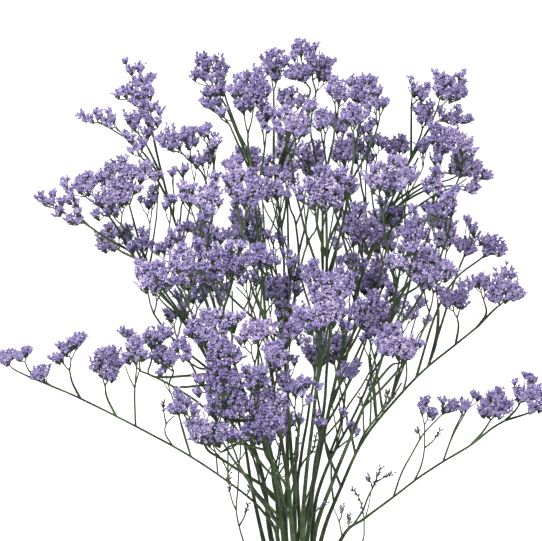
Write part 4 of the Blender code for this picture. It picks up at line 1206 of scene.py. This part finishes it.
SPIKES_EACH_MM = 0.75
SPIKE_FAN = 0.7
SPIKE_LENGTH = 1.95
SPIKE_BARE = 0.34
FLORETS_EACH_MM = 0.6
FLORETS_LEAST = 2.5
SPIKE_BRACTS = 1
SPIKE_RADIUS = 0.34
SPIKE_BEND = 0.16
SPIKE_TURN = 2.4
FULL_TURN = 6.28
BUD_WIDTH = 0.6
TUFT_DEPTH = 1.4
FLORET_REACH = 0.3
TUFT_DROP = 0.4
SKYWARD = Vector((0.0, 0.83, 0.55))
# Pale and lit places: heads that are fresher and paler, plus painted light on the lit tops of the front
# heads. Dark and shaded places: darker heads, plus painted shade on the heads that lie behind.
PALE_AND_LIT_PLACES = [(-110, 191), (-51, 185), (-24, 202), (35, 193), (77, 200), (92, 204), (91, 139), (64, 166),
                (113, 137), (15, 240), (92, 79), (-6, 91), (-25, 99), (-47, 99), (3, 73), (1, 40),
                (-51, 19), (41, 117), (40, 103), (-65, 146), (-90, 128), (140, 226), (143, 208), (-96, 204)]
DARK_AND_SHADED_PLACES = [(-46, 160), (-18, 166), (-57, 118), (-38, 118), (12, 141), (76, 134), (39, 77), (30, 213),
               (115, 176), (88, 172), (70, 151), (-93, 155), (-72, 101), (-18, 128), (0, 122), (14, 70),
               (122, 224), (-47, 281), (2, 278), (-38, 60), (-12, 16), (48, 82)]
TONE_MIDDLE = 0.43
# Florets of the back heads are painted paler: painted light against the shadow that the front heads cast on
# them.
BACK_PAINTED_LIGHT = 0.3
PALE_AND_LIT_SWING = 0.31
DARK_AND_SHADED_SWING = -0.24
TONE_REACH = 13.0
# Florets low on a spike are painted darker and those near its tip paler: painted shade deep in the tuft.
PAINTED_SHADE_CLIMB = 0.35
TONE_SPREAD = 0.17
PALE_SPECKS = 0.07
DARK_SPECKS_FROM = 0.9
BACK_BELOW = 62.0


def place_tone(spot):
    """How light the florets are in one place: some heads are fresher and paler, and painted light and shade
    are added.
    """
    tone = TONE_MIDDLE + (BACK_PAINTED_LIGHT if spot.z < mm(BACK_BELOW) else 0.0)
    for places, swing in ((PALE_AND_LIT_PLACES, PALE_AND_LIT_SWING), (DARK_AND_SHADED_PLACES, DARK_AND_SHADED_SWING)):
        nearest = min(math.hypot(spot.x * 1000.0 - x, spot.y * 1000.0 - y) for x, y in places)
        tone += swing * math.exp(-((nearest / TONE_REACH) ** 2))
    return tone


def random_way(draw):
    while True:
        way = Vector((draw.uniform(-1, 1), draw.uniform(-1, 1), draw.uniform(-1, 1)))
        if 0.1 < way.length < 1.0:
            return way.normalized()


def grow_spike(florets, stem, foot, way, out, length, count, tone, draw):
    """One short curved spike: its stalk, a green scale low on it, and florets in two rows above."""
    tip = foot + way * length
    bend = foot.lerp(tip, 0.5) - out * length * SPIKE_BEND
    radii = [SPIKE_RADIUS * 1.3, SPIKE_RADIUS * 1.5, SPIKE_RADIUS * 0.6]
    runs[stem]["twig"].append(([foot, 0.25 * foot + 0.5 * bend + 0.25 * tip, tip], radii))
    side = way.cross(out)
    side = side.normalized() if side.length > 0.05 else way.orthogonal().normalized()
    for number in range(SPIKE_BRACTS + count):
        rank = 1.0 if number % 2 else -1.0
        if number < SPIKE_BRACTS:
            t = SPIKE_BARE * draw.uniform(0.3, 0.8)
            facing = way * 0.9 + out * 0.2 + side * rank * 0.4 + random_way(draw) * 0.2
            wide, long, shade = draw.uniform(0.6, 0.8), draw.uniform(0.7, 0.9), -1.0
        else:
            step = number - SPIKE_BRACTS + draw.uniform(0.1, 0.9)
            t = SPIKE_BARE + (1.0 - SPIKE_BARE) * step / count
            facing = way * 0.7 + out * 0.42 + side * rank * 0.42 + random_way(draw) * 0.28
            wide, long = draw.uniform(0.75, 1.15), draw.uniform(0.8, 1.15)
            # Painted shade: florets lower on the spike, deeper in the tuft, get a darker tone.
            shade = tone + PAINTED_SHADE_CLIMB * (t - 0.75) + draw.gauss(0.0, TONE_SPREAD)
            speck = draw.random()
            if speck < PALE_SPECKS:
                shade = draw.uniform(0.78, 0.97)
            elif speck > DARK_SPECKS_FROM:
                shade = draw.uniform(0.0, 0.15)
            shade = min(0.999, max(0.0, shade))
        spot = (1.0 - t) ** 2 * foot + 2.0 * t * (1.0 - t) * bend + t * t * tip
        florets.append((spot, facing.normalized(), draw.uniform(0.0, FULL_TURN), wide, long, shade))


def grow_tuft(florets, stem, spot, radius, growth, draw):
    """One tuft: a fan of spikes on a twig end. It gives back the foot, where its twig comes in."""
    reach = radius - mm(FLORET_REACH)
    foot = spot - growth * TUFT_DEPTH * reach - Vector((0.0, mm(TUFT_DROP), 0.0))
    side = growth.orthogonal().normalized()
    other = growth.cross(side)
    tone = place_tone(spot) + draw.uniform(-0.08, 0.08)
    spikes = max(3, round(SPIKES_EACH_MM * radius * 1000.0 + 1.0))
    count = max(3, round(FLORETS_EACH_MM * radius * 1000.0 + FLORETS_LEAST))
    turn = draw.uniform(0.0, 2.0 * math.pi)
    for number in range(spikes):
        angle = turn + SPIKE_TURN * number + draw.uniform(-0.4, 0.4)
        lean = SPIKE_FAN * math.sqrt((number + 0.4) / spikes)
        spike_way = (growth + (side * math.cos(angle) + other * math.sin(angle)) * lean).normalized()
        out = (SKYWARD + growth * 0.4 + random_way(draw) * 0.35).normalized()
        length = SPIKE_LENGTH * reach * draw.uniform(0.75, 1.12)
        grow_spike(florets, stem, foot, spike_way, out, length, count, tone, draw)
    return foot


def grow_buds(florets, line, count, draw):
    """Small green and brownish buds, alternately on both sides of a shoot's upper part."""
    first = 1.0 - BUD_SHARE
    for number in range(2 * count):
        along = (first + BUD_SHARE * (number + draw.random()) / (2 * count)) * (len(line) - 1)
        place = min(len(line) - 2, int(along))
        spot = line[place].lerp(line[place + 1], along - place)
        way = (line[place + 1] - line[place]).normalized()
        side = way.cross(Vector((0.0, 0.0, 1.0))).normalized() * (1.0 if number % 2 else -1.0)
        facing = way * 0.9 + side * 0.42 + random_way(draw) * 0.2
        shade = -1.0 if draw.random() < 0.75 else 0.3
        florets.append((spot, facing.normalized(), draw.uniform(0.0, FULL_TURN), BUD_WIDTH,
                        draw.uniform(0.8, 1.15), shade))


def group_neck(placed, level):
    """Where the branch of a group starts to fork, below its lowest tufts."""
    centre = sum((middle for middle, radius in placed), Vector()) / len(placed)
    columns = [middle.x for middle, radius in placed]
    half_width = 0.5 * (max(columns) - min(columns))
    lowest = min(middle.y - radius for middle, radius in placed)
    lean = mm(NECK_LEAN) if level == "back" else -mm(NECK_LEAN)
    return Vector((centre.x, lowest - mm(NECK_DROP) - NECK_SPREAD * half_width, centre.z + lean))


def grow_group(florets, stem, level, way, placed, taken, foot, tip, draw):
    """One group: its branch from the stem to its neck, the forks above that, and a tuft on each end."""
    route = routes[stem]
    if way:
        height = sum(middle.z for middle, radius in placed) / len(placed) - mm(LED_DROP)
        line = led(nearest_spot(stem, *way[0]), way[1:], 1000.0 * height)
    else:
        neck = group_neck(placed, level)
        place = fork_place(route, neck, taken, BRANCH_SLANTS, FORK_DROP, LONGEST_BRANCH)
        taken.add(place)
        line = bowed(route[place], neck, draw)
        highest[stem] = max(highest[stem], place)
    runs[stem]["branch"].append((line, tapered(line, foot, tip)))
    neck = line[-1]
    feet = []
    for middle, radius in placed:
        away = (middle - neck).normalized()
        growth = away * 0.75 + Vector((0.0, 0.6, 0.12)) + random_way(draw) * 0.3
        feet.append(grow_tuft(florets, stem, middle, radius, growth.normalized(), draw))
    fork_out(stem, neck, feet, tip, TWIG_RADIUS, draw)


flowers = {}
sprigs = {}
for stem_name, stem_heads in HEADS.items():
    taken = set()
    for number, (level, groups) in enumerate(stem_heads, start=1):
        head_name = f"head_{stem_name}_{number}"
        draw = Random(head_name)
        flowers[head_name] = []
        laid = [tuft_places(HEAD_LEVEL[level], tufts, draw) for way, tufts in groups]
        if head_name in RESTING:
            drop = min(middle.z - radius for placed in laid for middle, radius in placed) - mm(PRESSED)
            laid = [[(middle - Vector((0.0, 0.0, drop)), radius) for middle, radius in placed]
                    for placed in laid]
        for (way, tufts), placed in zip(groups, laid):
            grow_group(flowers[head_name], stem_name, level, way, placed, taken, BRANCH_RADIUS_FOOT,
                       BRANCH_RADIUS_TIP, draw)
    sprigs[stem_name] = []
    for line, buds in budded[stem_name]:
        grow_buds(sprigs[stem_name], line, buds, Random(f"buds {stem_name} {buds}"))
    for height, way, tufts in SPRIGS.get(stem_name, []):
        draw = Random(f"sprig {stem_name} {tufts[0]}")
        placed = tuft_places(height, tufts, draw)
        grow_group(sprigs[stem_name], stem_name, "middle", way, placed, taken, SPRIG_RADIUS_FOOT,
                   SPRIG_RADIUS_TIP, draw)


# The violet petals
# Dry papery cups, green where they sit on the spike, violet up their sides and paler at the thin rim.
# Each floret has its own tone strip of the map, from deep violet to a pale pinkish lilac. The strips also
# carry the painted light and shade of the floret tones.

PETAL_TONES = [
    (0.00, (0.080, 0.055, 0.225)),
    (0.30, (0.180, 0.136, 0.400)),
    (0.60, (0.355, 0.275, 0.620)),
    (0.85, (0.640, 0.530, 0.820)),
    (1.00, (0.900, 0.810, 0.930)),
]
PETAL_BASE = (0.030, 0.042, 0.022)
PETAL_THROAT = (0.075, 0.052, 0.190)
PETAL_RIM = (0.800, 0.730, 0.860)
BRACT_RIM = (0.110, 0.095, 0.090)
STRIP_EDGE = 0.08
STRIP_SHARE = 0.84
MOST_TURN = 1.1
LEAST_HEIGHT = 0.1


def add_node(tree, kind, **values):
    node = tree.nodes.new(kind)
    for name, value in values.items():
        setattr(node, name, value)
    return node


def colour_ramp(tree, stops, source):
    ramp = add_node(tree, "ShaderNodeValToRGB")
    elements = ramp.color_ramp.elements
    while len(elements) < len(stops):
        elements.new(0.5)
    for element, (place, colour) in zip(elements, stops):
        element.position = place
        element.color = (*colour, 1.0)
    tree.links.new(source, ramp.inputs["Fac"])
    return ramp.outputs["Color"]


def map_range(tree, source, low, high, to_low, to_high):
    node = add_node(tree, "ShaderNodeMapRange", interpolation_type="SMOOTHSTEP")
    for name, value in (("From Min", low), ("From Max", high), ("To Min", to_low), ("To Max", to_high)):
        node.inputs[name].default_value = value
    tree.links.new(source, node.inputs["Value"])
    return node.outputs["Result"]


def mix_colour(tree, amount, first, second):
    node = add_node(tree, "ShaderNodeMix", data_type="RGBA")
    colour_inputs = [socket for socket in node.inputs if socket.type == "RGBA"]
    for socket, value in ((node.inputs[0], amount), (colour_inputs[0], first), (colour_inputs[1], second)):
        if isinstance(value, bpy.types.NodeSocket):
            tree.links.new(value, socket)
        elif isinstance(value, tuple):
            socket.default_value = (*value, 1.0)
        else:
            socket.default_value = value
    return [socket for socket in node.outputs if socket.type == "RGBA"][0]


def maths(tree, operation, first, second=0.0):
    node = add_node(tree, "ShaderNodeMath", operation=operation)
    for socket, value in ((node.inputs[0], first), (node.inputs[1], second)):
        if isinstance(value, bpy.types.NodeSocket):
            tree.links.new(value, socket)
        else:
            socket.default_value = value
    return node.outputs["Value"]


def new_finish(name):
    material = bpy.data.materials.new(name)
    material.use_nodes = True
    return material, material.node_tree, material.node_tree.nodes["Principled BSDF"]


def noise(tree, place, scale, detail):
    node = add_node(tree, "ShaderNodeTexNoise")
    node.inputs["Scale"].default_value = scale
    node.inputs["Detail"].default_value = detail
    tree.links.new(place, node.inputs["Vector"])
    return node.outputs["Fac"]


def add_bump(tree, shader, height, strength):
    """Small bumps in a finish, a fifth of a millimetre deep."""
    bump = add_node(tree, "ShaderNodeBump")
    bump.inputs["Strength"].default_value = strength
    bump.inputs["Distance"].default_value = mm(0.2)
    tree.links.new(height, bump.inputs["Height"])
    tree.links.new(bump.outputs["Normal"], shader.inputs["Normal"])


def petal_finish():
    material, tree, shader = new_finish("violet_petal")
    place = add_node(tree, "ShaderNodeUVMap", uv_map="OFBake")
    parts = add_node(tree, "ShaderNodeSeparateXYZ")
    tree.links.new(place.outputs["UV"], parts.inputs["Vector"])
    across, height = parts.outputs["X"], parts.outputs["Y"]
    strip = maths(tree, "DIVIDE", maths(tree, "FLOOR", maths(tree, "MULTIPLY", across, STRIPS)), STRIPS - 1)
    turn = maths(tree, "FRACT", maths(tree, "MULTIPLY", across, STRIPS))
    pleat = maths(tree, "ABSOLUTE", maths(tree, "SINE", maths(tree, "MULTIPLY", turn, math.pi * CUP_RING)))
    body = colour_ramp(tree, PETAL_TONES, strip)
    shaded = mix_colour(tree, map_range(tree, height, 0.30, 0.68, 0.55, 0.0), body, PETAL_THROAT)
    rimmed = mix_colour(tree, map_range(tree, height, 0.60, RIM_V, 0.0, 0.42), shaded, PETAL_RIM)
    inside = mix_colour(tree, map_range(tree, height, RIM_V + 0.03, 0.93, 0.0, 0.88), rimmed, PETAL_THROAT)
    based = mix_colour(tree, map_range(tree, height, 0.16, 0.40, 1.0, 0.0), inside, PETAL_BASE)
    ribbed = mix_colour(tree, maths(tree, "MULTIPLY", pleat, 0.12), based, PETAL_THROAT)
    scale = mix_colour(tree, map_range(tree, height, 0.3, RIM_V, 0.0, 0.7), PETAL_BASE, BRACT_RIM)
    coloured = mix_colour(tree, maths(tree, "GREATER_THAN", across, PETAL_STRIPS / STRIPS), ribbed, scale)
    tree.links.new(coloured, shader.inputs["Base Color"])
    tree.links.new(map_range(tree, height, 0.2, 0.8, 0.62, 0.85), shader.inputs["Roughness"])
    shader.inputs["Specular IOR Level"].default_value = 0.3
    return material


def join_florets(name, florets, material):
    """One mesh of many florets, each a copy of the one cup, turned and sized on its own."""
    spots = np.array([floret[0][:] for floret in florets])
    axes = np.array([floret[1][:] for floret in florets])
    turns = np.array([floret[2] for floret in florets])
    widths = np.array([floret[3] for floret in florets]) * mm(CUP_HALF_WIDTH)
    lengths = np.array([floret[4] for floret in florets]) * mm(CUP_LENGTH)
    shades = np.array([floret[5] for floret in florets])
    strips = np.where(shades < 0.0, PETAL_STRIPS, np.floor(shades * PETAL_STRIPS))
    helper = np.where(np.abs(axes[:, 2:3]) < 0.9, np.array([[0.0, 0.0, 1.0]]), np.array([[1.0, 0.0, 0.0]]))
    first = np.cross(axes, helper)
    first /= np.linalg.norm(first, axis=1, keepdims=True)
    second = np.cross(axes, first)
    along = np.cos(turns)[:, None] * first + np.sin(turns)[:, None] * second
    beside = np.cross(axes, along)
    cup = floret_corners
    corners = (spots[:, None, :]
               + cup[None, :, 0:1] * (along * widths[:, None])[:, None, :]
               + cup[None, :, 1:2] * (beside * widths[:, None])[:, None, :]
               + cup[None, :, 2:3] * (axes * lengths[:, None])[:, None, :])
    corners = corners.reshape(-1, 3)
    corners[:, 2] = np.maximum(corners[:, 2], mm(LEAST_HEIGHT))
    faces = floret_faces[None] + (np.arange(len(florets)) * len(cup))[:, None, None]
    places = np.broadcast_to(floret_spots[None], (len(florets),) + floret_spots.shape).copy()
    places[..., 0] = (strips[:, None, None] + STRIP_EDGE + STRIP_SHARE * places[..., 0] / MOST_TURN) / STRIPS
    mesh = bpy.data.meshes.new(name)
    mesh.vertices.add(len(corners))
    mesh.vertices.foreach_set("co", corners.ravel())
    count = len(florets) * len(floret_faces)
    mesh.loops.add(3 * count)
    mesh.loops.foreach_set("vertex_index", faces.reshape(-1).astype(np.int32))
    mesh.polygons.add(count)
    mesh.polygons.foreach_set("loop_start", np.arange(0, 3 * count, 3, dtype=np.int32))
    mesh.update()
    mesh.validate()
    layer = mesh.uv_layers.new(name="OFBake")
    layer.data.foreach_set("uv", places.reshape(-1))
    mesh.materials.append(material)
    piece = bpy.data.objects.new(name, mesh)
    bpy.context.scene.collection.objects.link(piece)
    return piece


petal = petal_finish()
for head_name, florets in flowers.items():
    piece = join_florets(head_name.replace("head_", "florets_"), florets, petal)
    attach(piece, "root")
    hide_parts(head_name)
for stem_name, florets in sprigs.items():
    if florets:
        piece = join_florets(f"sprigs_{stem_name}", florets, petal)
        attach(piece, "root")


# The green of the stems
# Dry ribbed stalks, dark green with paler stretches, and pale where the feet are cut.

STEM_DARK = (0.007, 0.015, 0.006)
STEM_GREEN = (0.020, 0.040, 0.014)
STEM_PALE = (0.098, 0.145, 0.060)
CUT_PALE = (0.36, 0.36, 0.20)
CUT_BELOW_Y = -270.0
CUT_FACING = -0.8
RIB_STRETCH = (900.0, 90.0, 900.0)
PATCH_SCALE = 45.0


def stem_finish():
    material, tree, shader = new_finish("green_stalk")
    place = add_node(tree, "ShaderNodeTexCoord")
    stretch = add_node(tree, "ShaderNodeMapping")
    stretch.inputs["Scale"].default_value = RIB_STRETCH
    tree.links.new(place.outputs["Object"], stretch.inputs["Vector"])
    rib = noise(tree, stretch.outputs["Vector"], 1.0, 3.0)
    patch = noise(tree, place.outputs["Object"], PATCH_SCALE, 4.0)
    streaked = colour_ramp(tree, [(0.30, STEM_DARK), (0.55, STEM_GREEN), (0.80, STEM_PALE)], rib)
    patched = mix_colour(tree, map_range(tree, patch, 0.45, 0.7, 0.0, 0.6), streaked, STEM_PALE)
    faces = add_node(tree, "ShaderNodeSeparateXYZ")
    tree.links.new(place.outputs["Normal"], faces.inputs["Vector"])
    spots = add_node(tree, "ShaderNodeSeparateXYZ")
    tree.links.new(place.outputs["Object"], spots.inputs["Vector"])
    low = maths(tree, "LESS_THAN", spots.outputs["Y"], mm(CUT_BELOW_Y))
    cut = maths(tree, "MULTIPLY", low, maths(tree, "LESS_THAN", faces.outputs["Y"], CUT_FACING))
    footed = mix_colour(tree, cut, patched, CUT_PALE)
    tree.links.new(footed, shader.inputs["Base Color"])
    shader.inputs["Specular IOR Level"].default_value = 0.22
    tree.links.new(map_range(tree, rib, 0.3, 0.7, 0.5, 0.8), shader.inputs["Roughness"])
    add_bump(tree, shader, rib, 0.35)
    return material


def stalks(name, lines, resolution):
    """Round closed stalks along many lines, as one mesh."""
    curve = bpy.data.curves.new(name, "CURVE")
    curve.dimensions = "3D"
    curve.bevel_depth = 1.0
    curve.bevel_resolution = resolution
    curve.use_fill_caps = True
    for points, radii in lines:
        spline = curve.splines.new("POLY")
        spline.points.add(len(points) - 1)
        for spot, point, radius in zip(spline.points, points, radii):
            spot.co = (*point, 1.0)
            spot.radius = mm(radius)
    holder = bpy.data.objects.new(name, curve)
    bpy.context.scene.collection.objects.link(holder)
    bpy.ops.object.select_all(action="DESELECT")
    holder.select_set(True)
    bpy.context.view_layer.objects.active = holder
    bpy.ops.object.convert(target="MESH")
    made = bpy.context.active_object
    bpy.ops.object.mode_set(mode="EDIT")
    bpy.ops.mesh.select_all(action="SELECT")
    bpy.ops.mesh.remove_doubles(threshold=1e-6)
    bpy.ops.mesh.normals_make_consistent(inside=False)
    bpy.ops.object.mode_set(mode="OBJECT")
    return made


stalk_green = stem_finish()
for stem_name, kinds in runs.items():
    line, radii = kinds["stem"][0]
    top = highest[stem_name] + 1
    made = [stalks(f"stalk_{stem_name}", [(line[:top], radii[:top])], 3)]
    if kinds["branch"]:
        made.append(stalks("branches", kinds["branch"], 1))
    if kinds["twig"]:
        made.append(stalks("twigs", kinds["twig"], 0))
    bpy.ops.object.select_all(action="DESELECT")
    for piece in made:
        piece.select_set(True)
    bpy.context.view_layer.objects.active = made[0]
    bpy.ops.object.join()
    piece = bpy.context.active_object
    piece.data.materials.clear()
    piece.data.materials.append(stalk_green)
    bpy.ops.object.shade_smooth_by_angle(angle=math.radians(50.0))
    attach(piece, "root")
    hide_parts(f"stem_{stem_name}")


# The tie
# Natural two-strand twine, wound round the stems and closed with a small knot and two short ends
# on top. Nothing else holds the bunch together.

TIE_HALF_WIDTH = 18.3
TIE_HALF_HEIGHT = 12.8
TIE_TURNS = 4
TIE_PITCH = 1.75
TIE_STEPS = 130
STRAND_RADIUS = 0.55
STRAND_REACH = 0.42
STRAND_TWIST = 4.5
KNOT_SIZE = 0.95
KNOT_STEPS = 60
TWINE_LIGHT = (0.52, 0.40, 0.24)
TWINE_DARK = (0.25, 0.17, 0.09)
FIBRE_SCALE = 1400.0
TIE_LIFT = 0.6
KNOT_LIFT = 1.6
TWINE_ENDS = [
    [(1, -1, 1.2), (5, -4, 0.4), (9, -9, -1.6), (11, -15, -3.4), (11.5, -19, -4.2)],
    [(-1, -1, 1.2), (-6, -3, 0.2), (-10, -8, -1.8), (-13, -12, -3.6), (-17, -15, -5.6)],
]
TWINE_END_STEPS = 10


def twine_finish():
    material, tree, shader = new_finish("twine")
    place = add_node(tree, "ShaderNodeTexCoord")
    fibre = noise(tree, place.outputs["Object"], FIBRE_SCALE, 4.0)
    colour = colour_ramp(tree, [(0.35, TWINE_DARK), (0.62, TWINE_LIGHT)], fibre)
    tree.links.new(colour, shader.inputs["Base Color"])
    shader.inputs["Roughness"].default_value = 0.9
    add_bump(tree, shader, fibre, 0.4)
    return material


def twisted(path):
    """The two strands that are twisted round each other along a path."""
    strands = []
    for start in (0.0, math.pi):
        strand = []
        length = 0.0
        for before, spot, after in zip([path[0]] + path[:-1], path, path[1:] + [path[-1]]):
            length += (spot - before).length
            angle = start + 2.0 * math.pi * length / mm(STRAND_TWIST)
            way = (after - before).normalized()
            side = way.cross(Vector((0.0, 1.0, 0.05))).normalized()
            other = way.cross(side)
            strand.append(spot + (side * math.cos(angle) + other * math.sin(angle)) * mm(STRAND_REACH))
        strands.append((strand, [STRAND_RADIUS] * len(strand)))
    return strands


tie_x, tie_y, tie_z = settle(TIE_MIDDLE[0], TIE_MIDDLE[1], TIE_MIDDLE[2] + TIE_LIFT)
winding = []
for step in range(TIE_TURNS * TIE_STEPS + 1):
    turn = step / TIE_STEPS
    angle = 2.0 * math.pi * turn + 0.5 * math.pi
    winding.append(Vector((tie_x + mm(TIE_HALF_WIDTH) * math.cos(angle),
                           tie_y + mm(TIE_PITCH) * (turn - 0.5 * TIE_TURNS),
                           tie_z + mm(TIE_HALF_HEIGHT) * math.sin(angle))))
knot_z = tie_z + mm(TIE_HALF_HEIGHT + KNOT_LIFT)
knot = []
for step in range(KNOT_STEPS + 1):
    angle = 2.0 * math.pi * step / KNOT_STEPS
    reach = mm(KNOT_SIZE) * (2.0 + math.cos(3.0 * angle))
    knot.append(Vector((tie_x + 1.2 * reach * math.cos(2.0 * angle), tie_y + reach * math.sin(2.0 * angle),
                        knot_z + mm(KNOT_SIZE) * math.sin(3.0 * angle))))
cords = [winding, knot]
for bends in TWINE_ENDS:
    laid = [Vector((tie_x + mm(x), tie_y + mm(y), knot_z + mm(z))) for x, y, z in bends]
    cords.append(smooth_route(laid, TWINE_END_STEPS))
strands = []
for cord in cords:
    strands += twisted(cord)
piece = stalks("twine_tie", strands, 1)
piece.data.materials.clear()
piece.data.materials.append(twine_finish())
bpy.ops.object.shade_smooth_by_angle(angle=math.radians(60.0))
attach(piece, "root")
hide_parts("tie")


bpy.ops.object.select_all(action="DESELECT")
